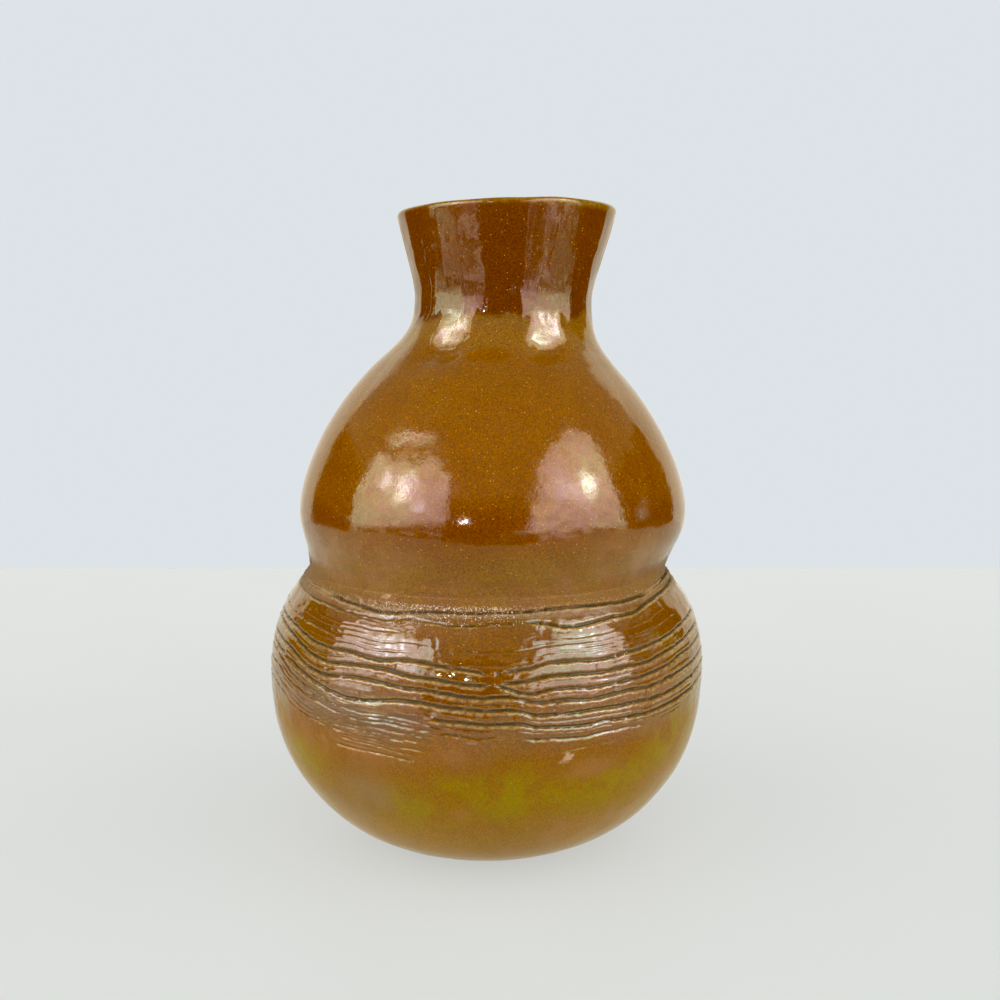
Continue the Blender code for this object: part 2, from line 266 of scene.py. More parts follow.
# The comb's teeth left finer sisters beside and between the strong lines.
SISTERS = (
    between(COMB[18], COMB[19], 0.50, -64, -14, 0.33, 0.32, 0.10),
    between(COMB[19], COMB[20], 0.34, -62, -24, 0.264, 0.30, 0.10),
    between(COMB[19], COMB[20], 0.70, -50, -12, 0.33, 0.32, 0.12),
    between(COMB[20], COMB[21], 0.40, -58, -13, 0.363, 0.34, 0.12),
    between(COMB[20], COMB[21], 0.72, -46, -20, 0.198, 0.28, 0.10),
    between(COMB[21], COMB[22], 0.45, -38, -14, 0.264, 0.30, 0.10),
    between(COMB[16], COMB[18], 0.50, -58, -30, 0.297, 0.32, 0.10),
    between(COMB[15], COMB[16], 0.50, -62, -38, 0.264, 0.30, 0.08),
    between(COMB[15], COMB[16], 0.55, -8, 8, 0.231, 0.28, 0.08),
    between(COMB[12], COMB[15], 0.50, -56, -36, 0.231, 0.28, 0.08),
    between(COMB[10], COMB[12], 0.48, -58, -34, 0.264, 0.30, 0.08),
    between(COMB[1], COMB[10], 0.30, -52, -22, 0.165, 0.28, 0.10),
    between(COMB[1], COMB[10], 0.55, -46, -12, 0.198, 0.28, 0.10),
    between(COMB[3], COMB[11], 0.35, 18, 58, 0.174, 0.28, 0.12),
    between(COMB[3], COMB[11], 0.62, 22, 64, 0.203, 0.28, 0.12),
    between(COMB[3], COMB[11], 0.84, 26, 52, 0.203, 0.28, 0.10),
    between(COMB[11], COMB[13], 0.55, 30, 62, 0.203, 0.28, 0.10),
    between(COMB[13], COMB[14], 0.55, 24, 66, 0.203, 0.28, 0.10),
    between(COMB[14], COMB[15], 0.50, 34, 64, 0.203, 0.28, 0.10),
    between(COMB[16], COMB[17], 0.52, 8, 66, 0.232, 0.30, 0.12),
    between(COMB[17], COMB[24], 0.40, 6, 58, 0.232, 0.30, 0.12),
    between(COMB[17], COMB[24], 0.72, 10, 40, 0.174, 0.28, 0.10),
    between(COMB[16], COMB[18], 0.25, -60, -22, 0.264, 0.28, 0.14),
    between(COMB[16], COMB[18], 0.78, -64, -34, 0.33, 0.30, 0.12),
    between(COMB[18], COMB[19], 0.26, -60, -30, 0.264, 0.28, 0.10),
    between(COMB[18], COMB[19], 0.78, -58, -16, 0.297, 0.28, 0.12),
    between(COMB[19], COMB[20], 0.52, -56, -18, 0.264, 0.28, 0.10),
    between(COMB[19], COMB[20], 0.86, -60, -30, 0.33, 0.30, 0.08),
    between(COMB[20], COMB[21], 0.20, -60, -22, 0.33, 0.30, 0.10),
    between(COMB[20], COMB[21], 0.56, -54, -16, 0.297, 0.28, 0.12),
    between(COMB[20], COMB[21], 0.88, -50, -30, 0.264, 0.28, 0.08),
    between(COMB[21], COMB[22], 0.22, -38, -18, 0.264, 0.28, 0.10),
    between(COMB[21], COMB[22], 0.70, -39, -22, 0.231, 0.28, 0.10),
    between(COMB[17], COMB[23], 0.45, -11, 3, 0.264, 0.28, 0.10),
    between(COMB[1], COMB[10], 0.42, -60, -30, 0.198, 0.28, 0.14),
    between(COMB[1], COMB[10], 0.78, -58, -16, 0.231, 0.28, 0.12),
    between(COMB[3], COMB[11], 0.50, 10, 40, 0.145, 0.26, 0.12),
    between(COMB[3], COMB[11], 0.74, 12, 50, 0.174, 0.26, 0.10),
)

# A few hard, short marks where the tooth stuck: azimuth, height, depth, width, length.
TICKS = (
    (-12, 93.6, 0.35, 0.40, 1.6),
    (3, 84.6, 0.50, 0.45, 1.2),
    (27, 84.0, 0.35, 0.40, 1.3),
    (16, 73.0, 0.40, 0.45, 1.4),
    (31, 76.3, 0.35, 0.40, 1.4),
    (-30, 74.6, 0.35, 0.40, 1.5),
    (-21, 84.4, 0.40, 0.45, 1.6),
    (41, 72.6, 0.30, 0.40, 1.2),
)


def comb(azimuth, z):
    """Depth of the combed band in metres, and how much of a groove and of a burr lies here."""
    s = arc(z)[:, None] * 1000
    hand = 0.14 * line_noise(azimuth, 5.0, 11) + 0.10 * line_noise(azimuth, 1.9, 12)
    groove = np.zeros((len(z), len(azimuth)))
    cut = np.zeros_like(groove)  # in mm, as the burr
    burr = np.zeros_like(groove)
    for k, (depth, width, start, stop, path) in enumerate(COMB + SISTERS):
        xs = np.array([p[0] for p in path], float)
        ys = np.array([p[1] for p in path], float)
        for turn in (-360, 0, 360):
            a = azimuth + turn
            on = (a >= xs[0]) & (a <= xs[-1])
            if not on.any():
                continue
            a = a[on]
            line = arc(spline(xs, ys, a) / 1000) * 1000 + hand[on]
            line = line + 0.10 * line_noise(a, 2.6, 30 + k)
            here = np.ones_like(a)
            if start:
                here = here * smooth(0, start, a - xs[0])
            if stop:
                here = here * smooth(0, stop, xs[-1] - a)
            line = line + 0.055 * line_noise(a, 1.0, 210 + k)
            uneven = 1 + 0.30 * line_noise(a, 3.2, 60 + k) + 0.34 * line_noise(a, 1.1, 90 + k)
            if k < len(COMB):
                uneven = uneven * (1 - 0.45 * smooth(0.30, 0.60, line_noise(a, 2.1, 240 + k)))
            deep = depth * here * uneven
            wide = 0.84 * width * (0.75 + 0.25 * here) * (1 + 0.28 * line_noise(a, 1.7, 120 + k) + 0.20 * line_noise(a, 0.75, 270 + k))
            d = s - line[None, :]
            shape = np.exp(-np.abs(d / wide) ** 2.1)
            shoulder = np.exp(-((d / (2.25 * wide)) ** 2))
            lump = 0.85 + 0.6 * line_noise(a, 0.7, 150 + k) + 0.4 * line_noise(a, 2.5, 180 + k)
            lift = (
                0.50 * np.exp(-(((d + 2.15 * wide) / (1.00 * wide)) ** 2))
                + 0.20 * np.exp(-(((d - 1.85 * wide) / (0.70 * wide)) ** 2))
            ) * np.clip(lump, 0.15, 2) * (0.45 if k == 0 else 0.85)
            share = 0.20 if k == 0 else 0.46
            cut[:, on] = np.maximum(cut[:, on], deep * ((1.02 - share) * shape + share * shoulder))
            burr[:, on] = np.maximum(burr[:, on], deep * lift)
            full, most = (0.55, 1.0) if k < len(COMB) else (0.62, 0.42)
            groove[:, on] = np.maximum(groove[:, on], np.clip(deep / full, 0, most) * shape)
    for at, level, depth, width, length in TICKS:
        dx = (azimuth - at)[None, :] * math.pi / 180 * 84
        dy = s - arc(level / 1000) * 1000
        shape = np.exp(-np.abs(dx / width) ** 2 - np.abs(dy / length) ** 4)
        cut = np.maximum(cut, depth * shape)
        groove = np.maximum(groove, 0.7 * shape)
    burr = burr * (1 - np.clip(groove * 1.4, 0, 1))
    return (burr - cut) / 1000, groove, np.clip(burr / 0.22, 0, 1)


# How the strokes of the comb rise and fall round the pot: azimuth and height in mm.
STROKE = ((-180, 76.5), (-145, 78.4), (-115, 80.6), (-88, 82.8), (-70, 84.0), (-59, 83.3), (-54, 81.8), (-50, 80.3),
          (-46, 79.3), (-42, 78.9), (-38, 79.4), (-34, 80.0), (-24, 80.0), (-19, 79.1), (-14, 78.9), (-9, 78.0),
          (-4, 77.1), (1, 76.8), (6, 77.0), (9, 75.9), (12, 74.9), (20, 75.0), (31, 74.8), (43, 74.3), (57, 75.4),
          (66, 75.9), (90, 77.0), (120, 75.8), (150, 77.2), (180, 76.5))


def strokes(azimuth, z):
    """Fine scratches along the strokes of the comb, -1 to 1, and how strongly they show."""
    follow = spline([58, 70, 80, 90, 100], [1.7, 1.4, 1.0, 0.7, 0.35], z * 1000)
    drop = spline([q[0] for q in STROKE], [q[1] for q in STROKE], azimuth) - 77.0
    level = z[:, None] - follow[:, None] * drop[None, :] / 1000
    q = place(0.0075 + 0 * level, azimuth[None, :], level)
    lines = 0.62 * noise(q, 0.00095, 5) + 0.38 * noise(q, 0.00062, 6)
    band = smooth(0.055, 0.064, z) * (1 - smooth(0.100, 0.104, z))
    left = smooth(12, -14, azimuth) * smooth(-95, -70, azimuth)
    much = 0.42 + 0.45 * smooth(0.079, 0.070, z)[:, None] * left[None, :]
    p = place(base_radius(z)[:, None], azimuth[None, :], z[:, None])
    much = much * np.clip(0.75 + 0.9 * noise(p, 0.0140, 23), 0.15, 1.5)
    return lines, band[:, None] * much


# ---------------------------------------------------------------- the neck's facets
# Pressed between the fingers: azimuth and height of each touch, its half width in
# degrees and mm, and how far it pushes out (+) or in (-), in mm.
TOUCHES = (
    (-58, 222, 15, 16, -0.55),
    (-25, 216, 13, 11, -0.45),
    (-27, 234, 12, 8, 0.30),
    (4, 224, 13, 15, -0.50),
    (31, 214, 11, 10, -0.40),
    (36, 234, 13, 9, 0.30),
    (57, 221, 10, 15, -0.50),
    (-52, 200, 12, 8, 0.35),
    (47, 200, 10, 8, 0.35),
    (88, 218, 16, 15, -0.55),
    (118, 204, 15, 11, 0.40),
    (148, 220, 15, 15, -0.50),
    (178, 202, 15, 9, 0.45),
    (205, 222, 16, 14, -0.55),
    (235, 206, 14, 10, 0.40),
    (268, 219, 15, 15, -0.50),
)


# Three thumb pads at the foot of the neck, pressed in until the wall there stood steep:
# azimuth, half width and the azimuth they face, in degrees, then how far in (mm) at which
# height (mm).
PADS = (
    (-28.5, 12, -26.5, 1.0, ((182, 0.0), (184, -0.45), (187, -1.25), (190, -2.50), (192.6, -3.15), (195, -2.35),
        (197, -1.38), (199, -0.68), (201, -0.20), (203, 0.06), (205, 0.05), (208, 0.0))),
    (27, 10.5, 27.0, 1.0, ((184, 0.0), (187, -0.55), (190, -1.61), (192.6, -2.16), (195, -1.53), (197, -0.78),
        (199, -0.28), (201, 0.03), (203, 0.13), (205, 0.05), (208, 0.0))),
    (-4, 11, -4.0, 0.0, ((184, 0.0), (188, -0.25), (192, -0.60), (196, -0.90), (200, -1.10), (203, -1.12),
        (204.5, -0.98), (206, -0.70), (208, -0.38), (210, -0.15), (212.5, 0.0))),
)

# Where one flat meets the next, in degrees all the way round.
FLATS = (-180, -154, -129, -105, -82, -64, -50, -25, -12, 11, 29, 46, 63, 84, 108, 132, 157, 180)


def touches(azimuth, z):
    total = np.zeros((len(z), len(azimuth)))
    for at, level, wide, tall, push in TOUCHES:
        da = (azimuth - at + 180) % 360 - 180
        total = total + push / 1000 * np.exp(-((da / wide) ** 2))[None, :] * np.exp(
            -(((z * 1000 - level) / tall) ** 2)
        )[:, None]
    steep = smooth(0.190, 0.194, z) * (1 - smooth(0.203, 0.209, z))
    for at, wide, facing, level, profile in PADS:
        da = (azimuth - at + 180) % 360 - 180
        depth = spline([q[0] / 1000 for q in profile], [q[1] / 1000 for q in profile], z)
        total = total + depth[:, None] * np.exp(-np.abs(da / wide) ** 3.2)[None, :]
        off = np.radians(np.clip((azimuth - facing + 180) % 360 - 180, -24, 24))
        flat = 0.036 * (1 / np.cos(off) - 1) * 0.8 * level * np.exp(-np.abs(da / (wide * 0.95)) ** 4)
        total = total + steep[:, None] * flat[None, :]
    # Flats between the touches: upright facets with soft, wandering edges.
    hold = smooth(0.199, 0.207, z) * (1 - smooth(0.236, 0.2440, z))
    stray = azimuth[None, :] + 2.6 * line_noise(z * 1000, 11, 61)[:, None] + 1.2 * line_noise(z * 1000, 4, 62)[:, None]
    for k in range(len(FLATS) - 1):
        middle = 0.5 * (FLATS[k] + FLATS[k + 1])
        half = math.radians(0.5 * (FLATS[k + 1] - FLATS[k]))
        off = np.radians((stray - middle + 180) % 360 - 180)
        inside = 1 - smooth(half - 0.045, half + 0.045, np.abs(off))
        flat = 0.034 * (1 / np.cos(np.clip(off, -0.5, 0.5)) - 1 - half**2 / 6)
        total = total + hold[:, None] * inside * flat * (0.56 + 0.26 * math.sin(5.3 * k))
    # Upright wipes of the fingers.
    p = place(0.038 + 0 * z[:, None], azimuth[None, :], z[:, None] * 0.16)
    total = total + hold[:, None] * (0.000085 * noise(p, 0.0042, 63) + 0.000034 * noise(p, 0.0016, 64))
    # Small dents, as the clay was pinched in.
    p = place(0.038 + 0 * z[:, None], azimuth[None, :], z[:, None])
    total = total + hold[:, None] * (0.00014 * noise(p, 0.0115, 65) + 0.000065 * noise(p, 0.0058, 66))
    return total


# ---------------------------------------------------------------- the outer surface
def around(count, front=0.42):
    """Azimuths in degrees, closer together at the front than at the back, with no repeat."""
    u = np.arange(count) / count - 0.5
    return 360 * (u + -front * np.sin(2 * math.pi * u) / (2 * math.pi)), u + 0.5


def place(radius, azimuth, z):
    a = np.radians(azimuth)
    return np.stack([lean(z) + radius * np.sin(a), -radius * np.cos(a), z + 0 * a], -1)


def relief(azimuth, z):
    """How far the surface stands off the base profile, and the masks for its glaze."""
    p = place(base_radius(z)[:, None], azimuth[None, :], z[:, None])
    d = 0.00034 * noise(p, 0.046, 1) + 0.00016 * noise(p, 0.021, 2)
    calm = (1 - 0.45 * smooth(0.116, 0.124, z))[:, None]
    d = d + calm * (0.000080 * noise(p, 0.0095, 3) + 0.000028 * noise(p, 0.0050, 4))
    band = smooth(0.052, 0.062, z) * (1 - smooth(0.112, 0.118, z))
    d = d + 0.000016 * noise(p, 0.0031, 22)
    # Drag marks of the comb between its lines: long and low.
    lines, much = strokes(azimuth, z)
    d = d + much * 0.000125 * lines
    d = d + band[:, None] * (0.00017 * noise(p, 0.0062, 7) + 0.000085 * noise(p, 0.0026, 21))
    # Slip smeared into the crease: crumbly, more so at the front left.
    level = spline([-180, -90, -50, -15, 10, 40, 90, 180], [104.6, 105.2, 104.6, 103.6, 103.9, 104.8, 105.8, 104.6], azimuth)
    slip = np.exp(-(((z[:, None] * 1000 - level[None, :] + 0.4) / 2.3) ** 2))
    amount = spline([-180, -100, -60, -20, 5, 30, 60, 110, 180], [0.5, 0.5, 0.75, 1.0, 1.0, 0.5, 0.4, 0.4, 0.5], azimuth)
    crumbly = slip * amount[None, :]
    d = d + crumbly * (0.00016 * noise(p, 0.0017, 8) + 0.00009 * noise(p, 0.0009, 9))
    cut, groove, burr = comb(azimuth, z)
    d = d + cut
    d = d + touches(azimuth, z)
    # The combed band's clay is pushed out a little as a whole.
    d = d + 0.00025 * (smooth(0.058, 0.068, z) * (1 - smooth(0.094, 0.102, z)))[:, None]
    lift = np.zeros_like(d)
    top = smooth(0.215, 0.245, z)[:, None]
    lift = lift + top * (0.0004 + 0.0010 * np.sin(np.radians(azimuth)) + 0.00022 * line_noise(azimuth, 31, 15) + 0.00012 * line_noise(azimuth, 12, 16))[None, :]
    streak = np.clip(1.9 * lines * np.minimum(much, 1.0), -1, 1) * (1 - groove)
    matt = (smooth(0.1165, 0.1095, z) * smooth(0.0995, 0.1035, z))[:, None] + 0 * d
    return d, lift, {"groove": groove, "burr": burr, "slip": crumbly, "streak": streak, "matt": matt}


def normals_of(points):
    """Normals of a grid of points [row, column], periodic in the columns, outward."""
    along = np.gradient(points, axis=0)
    round_ = np.roll(points, -1, axis=1) - np.roll(points, 1, axis=1)
    n = np.cross(round_, along)
    return n / np.maximum(np.linalg.norm(n, axis=-1, keepdims=True), 1e-20)


def outer_grid(z, azimuth):
    """The outer surface at these levels, with ghost rows for its normals."""
    first, last = z[1] - z[0], z[-1] - z[-2]
    zz = np.concatenate([[z[0] - first], z, [z[-1] + last]])
    zz = np.maximum(zz, 0.0) if z[0] > 0 else np.concatenate([[-first], zz[1:]])
    zc = np.clip(zz, 0.0, HEIGHT)
    r = base_radius(zc)
    dr, dz = np.gradient(r), np.gradient(zz)
    length = np.hypot(dr, dz)
    nr, nz = dz / length, -dr / length
    d, lift, masks = relief(azimuth, zc)
    keep = smooth(0.0, 0.004, zz)[:, None]  # the foot's edge stays on the floor
    a = np.radians(azimuth)
    rr = r[:, None] + d * nr[:, None]
    up = zz[:, None] + d * nz[:, None] * keep + lift
    p = np.stack(
        [lean(zc)[:, None] + rr * np.sin(a), -rr * np.cos(a), up], -1
    )
    n = normals_of(p)
    return p[1:-1], n[1:-1], {k: m[1:-1] for k, m in masks.items()}


def inner_grid(r, z, azimuth, seed):
    """A finger-smoothed inner wall through the profile points, with its normals inward."""
    dr, dz = np.gradient(r), np.gradient(z)
    length = np.hypot(dr, dz)
    nr, nz = dz / length, -dr / length
    p0 = place(r[:, None], azimuth[None, :], z[:, None])
    d = 0.0005 * noise(p0 * [1, 1, 1], 0.030, seed) + 0.00022 * noise(p0 * [0.25, 0.25, 1], 0.0065, seed + 1)
    fade = np.minimum(smooth(0, 0.15, np.linspace(0, 1, len(z))), smooth(0, 0.15, np.linspace(1, 0, len(z))))
    d = d * fade[:, None]
    a = np.radians(azimuth)
    rr = r[:, None] + d * nr[:, None]
    p = np.stack([lean(z)[:, None] + rr * np.sin(a), -rr * np.cos(a), z[:, None] + d * nz[:, None]], -1)
    return p, normals_of(p)


def inner_profile(low, high, wall, step=0.0035):
    """The outer profile moved in by the wall, square to it, kept between two levels."""
    z = heights(max(low - 0.004, 0.001), min(high + 0.004, HEIGHT), step)
    r = base_radius(z)
    dr, dz = np.gradient(r, 1), np.gradient(z, 1)
    length = np.hypot(dr, dz)
    ri, zi = r - wall * dz / length, z + wall * dr / length
    order = np.argsort(zi)
    ri, zi = ri[order], zi[order]
    levels = np.linspace(low, high, max(6, int((high - low) / step)))
    return np.interp(levels, zi, ri), levels


# ---------------------------------------------------------------- meshes from grids
def build(name, rows, masks, bands, u, caps=(), crumbs=()):
    """rows: list of (M, 3) rings. bands: (i, j, ni, nj, vi, vj), faces from ring i to
    ring j, wound so that they face outward, with a normal per point and a height on the
    texture map at both. caps: (ring, normal, centre, flip, masks). crumbs: closed bodies
    (points, triangles, normals, masks)."""
    m = len(rows[0])
    points = [np.asarray(r) for r in rows]
    verts = np.concatenate(points)
    names = ("groove", "burr", "slip", "streak", "matt", "inside", "bare", "crumb")
    values = {k: [] for k in names}
    for mask in masks:
        for k in names:
            v = mask.get(k, 0.0)
            values[k].append(np.broadcast_to(np.asarray(v, float), (m,)))
    values = {k: np.concatenate(v) for k, v in values.items()}
    j = np.arange(m)
    k = (j + 1) % m
    u_next = np.append(u[1:], 1.0)
    loops, normals, uvs, starts, totals = [], [], [], [], []
    count = 0
    for lo, hi, nlo, nhi, vlo, vhi in bands:
        quad = np.stack([lo * m + j, lo * m + k, hi * m + k, hi * m + j], 1)
        loops.append(quad.ravel())
        normals.append(np.stack([nlo[j], nlo[k], nhi[k], nhi[j]], 1).reshape(-1, 3))
        uvs.append(
            np.stack(
                [
                    np.stack([u, np.full(m, vlo)], 1),
                    np.stack([u_next, np.full(m, vlo)], 1),
                    np.stack([u_next, np.full(m, vhi)], 1),
                    np.stack([u, np.full(m, vhi)], 1),
                ],
                1,
            ).reshape(-1, 2)
        )
        starts.append(count + 4 * j)
        totals.append(np.full(m, 4))
        count += 4 * m
    for ring, normal, centre, flip, mask, spot in caps:
        c = len(verts)
        verts = np.concatenate([verts, [centre]])
        for name_ in names:
            values[name_] = np.append(values[name_], mask.get(name_, 0.0))
        tri = np.stack([ring * m + j, ring * m + k, np.full(m, c)], 1)
        turn = 2 * math.pi * u
        turn_next = 2 * math.pi * u_next
        here = np.stack([spot[0] + spot[2] * np.cos(turn), spot[1] + spot[2] * np.sin(turn)], 1)
        there = np.stack([spot[0] + spot[2] * np.cos(turn_next), spot[1] + spot[2] * np.sin(turn_next)], 1)
        mid = np.broadcast_to([spot[0], spot[1]], here.shape)
        uv = np.stack([here, there, mid], 1)
        if flip:
            tri, uv = tri[:, ::-1], uv[:, ::-1]
        loops.append(tri.ravel())
        normals.append(np.broadcast_to(normal, (3 * m, 3)))
        uvs.append(uv.reshape(-1, 2))
        starts.append(count + 3 * j)
        totals.append(np.full(m, 3))
        count += 3 * m
    for body, faces, body_normals, mask, uv in crumbs:
        base = len(verts)
        verts = np.concatenate([verts, body])
        for name_ in names:
            values[name_] = np.append(values[name_], np.full(len(body), mask.get(name_, 0.0)))
        tri = faces + base
        loops.append(tri.ravel())
        normals.append(body_normals[faces].reshape(-1, 3))
        uvs.append(np.broadcast_to(uv, (faces.size, 2)) if np.ndim(uv) == 1 else uv[faces].reshape(-1, 2))
        starts.append(count + 3 * np.arange(len(faces)))
        totals.append(np.full(len(faces), 3))
        count += faces.size
    loops = np.concatenate(loops).astype(np.int32)
    normals = np.concatenate(normals)
    uvs = np.concatenate(uvs)
    starts = np.concatenate(starts).astype(np.int32)
    mesh = bpy.data.meshes.new(name)
    mesh.vertices.add(len(verts))
    mesh.vertices.foreach_set("co", verts.astype(np.float32).ravel())
    mesh.loops.add(len(loops))
    mesh.loops.foreach_set("vertex_index", loops)
    mesh.polygons.add(len(starts))
    mesh.polygons.foreach_set("loop_start", starts)
    mesh.polygons.foreach_set("use_smooth", np.ones(len(starts), bool))
    mesh.update(calc_edges=True)
    mesh.uv_layers.new(name="OFBake")
    mesh.uv_layers["OFBake"].uv.foreach_set("vector", uvs.astype(np.float32).ravel())
    for name_ in names:
        layer = mesh.attributes.new(name_, "FLOAT", "POINT")
        layer.data.foreach_set("value", values[name_].astype(np.float32))
    mesh.validate()
    mesh.normals_split_custom_set(normals)
    made = bpy.data.objects.new(name, mesh)
    bpy.context.scene.collection.objects.link(made)
    return made


def pick(masks, i):
    return {k: v[i] for k, v in masks.items()}


# ---------------------------------------------------------------- crumbs of slip
_ball = bmesh.new()
bmesh.ops.create_icosphere(_ball, subdivisions=1, radius=1.0)
BALL = np.array([v.co[:] for v in _ball.verts])
BALL_FACES = np.array([[v.index for v in f.verts] for f in _ball.faces])
_ball.free()

# Where crumbs lie: azimuths, heights in mm, how many, their half widths in mm, and how pale.
CRUMBS = (
    (-31, 7, 103.6, 105.0, 230, 0.14, 0.36, 1.0),
    (-30, 6, 101.2, 102.5, 96, 0.14, 0.34, 1.0),
    (-30, 4, 98.6, 101.2, 60, 0.11, 0.28, 1.0),
    (-34, 30, 104.4, 109.5, 110, 0.07, 0.15, 0.8),
    (-60, 62, 101.9, 105.5, 100, 0.09, 0.22, 0.9),
    (-20, 4, 92.0, 98.0, 22, 0.07, 0.15, 0.7),
    (-28, 8, 101.6, 104.6, 64, 0.17, 0.38, 1.0),
    (-28, 8, 104.6, 106.0, 16, 0.12, 0.26, 0.9),
    (-24, 10, 99.4, 100.9, 36, 0.14, 0.32, 0.9),
    (-14, -3, 92.6, 97.0, 8, 0.16, 0.30, 0.8),
    (-62, -28, 103.2, 105.2, 40, 0.12, 0.28, 0.9),
    (8, 58, 103.6, 105.4, 40, 0.10, 0.24, 0.8),
    (-29, -25, 105.6, 107.2, 7, 0.20, 0.38, 1.0),
    (60, 298, 103.2, 105.4, 120, 0.12, 0.30, 0.9),
    (14, 30, 98.8, 100.0, 16, 0.12, 0.22, 0.9),
    (1.5, 3.5, 84.4, 85.2, 3, 0.24, 0.40, 0.35),
    (1.0, 2.8, 80.8, 81.6, 3, 0.22, 0.36, 0.35),
    (-17.6, -16.0, 53.4, 54.6, 3, 0.24, 0.38, 0.4),
    (34.5, 37.0, 86.4, 88.6, 3, 0.26, 0.42, 0.6),
    (-40, 40, 64, 92, 60, 0.10, 0.20, 0.5),
)


def crumb_places(low, high):
    """Seeded spots and sizes of the crumbs that lie between two heights."""
    made = []
    for k, (a0, a1, z0, z1, count, small, large, pale) in enumerate(CRUMBS):
        rng = np.random.default_rng(20 + k)
        for _ in range(count):
            a = rng.uniform(a0, a1)
            z = rng.uniform(z0, z1) / 1000
            size = small + (large - small) * rng.random() ** 2.2
            shape = np.clip(1 + 0.24 * rng.standard_normal(len(BALL)), 0.6, 1.5)
            rest = (rng.uniform(0, math.pi), rng.uniform(0.40, 0.85), rng.uniform(0.45, 0.80), pale * rng.uniform(0.62, 1.0))
            if low <= z < high:
                made.append((a, z, size / 1000, shape, *rest))
    return made


def crumb_bodies(places, p, n, azimuth, z, v0, v1):
    """Little rough grains, half sunk in the surface given as a grid, each with its own
    small square on the texture map."""
    if not places:
        return []
    across = max(1, int(math.ceil(len(places) / 4)))
    cell, tall = 1.0 / across, (v1 - v0) / 4
    made = []
    for i, (a, level, size, shape, spin, narrow, flat, pale) in enumerate(places):
        row = int(np.argmin(np.abs(z - level)))
        gap = np.abs((azimuth - a + 180) % 360 - 180)
        column = int(np.argmin(gap))
        centre, up = p[row, column], n[row, column]
        side = np.array([math.cos(math.radians(a)), math.sin(math.radians(a)), 0.0])
        centre = centre + side * (((a - azimuth[column] + 180) % 360 - 180) * math.pi / 180 * 0.08)
        t = side - up * (side @ up)
        t /= np.linalg.norm(t)
        b = np.cross(up, t)
        t, b = t * math.cos(spin) + b * math.sin(spin), b * math.cos(spin) - t * math.sin(spin)
        scale = np.array([1.0, narrow, flat]) * size
        local = BALL * shape[:, None] * scale
        body = centre + up * (0.15 * size) + local[:, :1] * t + local[:, 1:2] * b + local[:, 2:] * up
        bn = BALL / scale
        bn /= np.linalg.norm(bn, axis=1, keepdims=True)
        bn = bn[:, :1] * t + bn[:, 1:2] * b + bn[:, 2:] * up
        x, y = (i % across) * cell, v0 + (i // across) * tall
        spot = BALL[:, :2] * 0.42 + 0.5
        uv = np.stack([x + spot[:, 0] * cell, y + spot[:, 1] * tall], 1)
        made.append((body, BALL_FACES, bn, {"crumb": pale}, uv))
    return made


# ---------------------------------------------------------------- the sections
def lower_bulb():
    plain = heights(FOOT_TOP, 0.0525, 0.0021)
    combed = heights(0.0525, SEAM_FOOT, 0.00035)
    z = np.concatenate([plain, combed[1:]])
    r, levels = inner_profile(FOOT_TOP + 0.0008, WAIST - 0.0040, WALL)
    r = np.append(r, 0.0616)
    levels = np.append(levels, WAIST - 0.0005)
    # The wall turns in under the slip: two more rows carry it up towards the waist.
    return ring("visual_lower_bulb", z, 446, r, levels, 40,
                [(0.0030, 0.0018), (0.0062, 0.0042)], low=0.0, high=SEAM_FOOT)


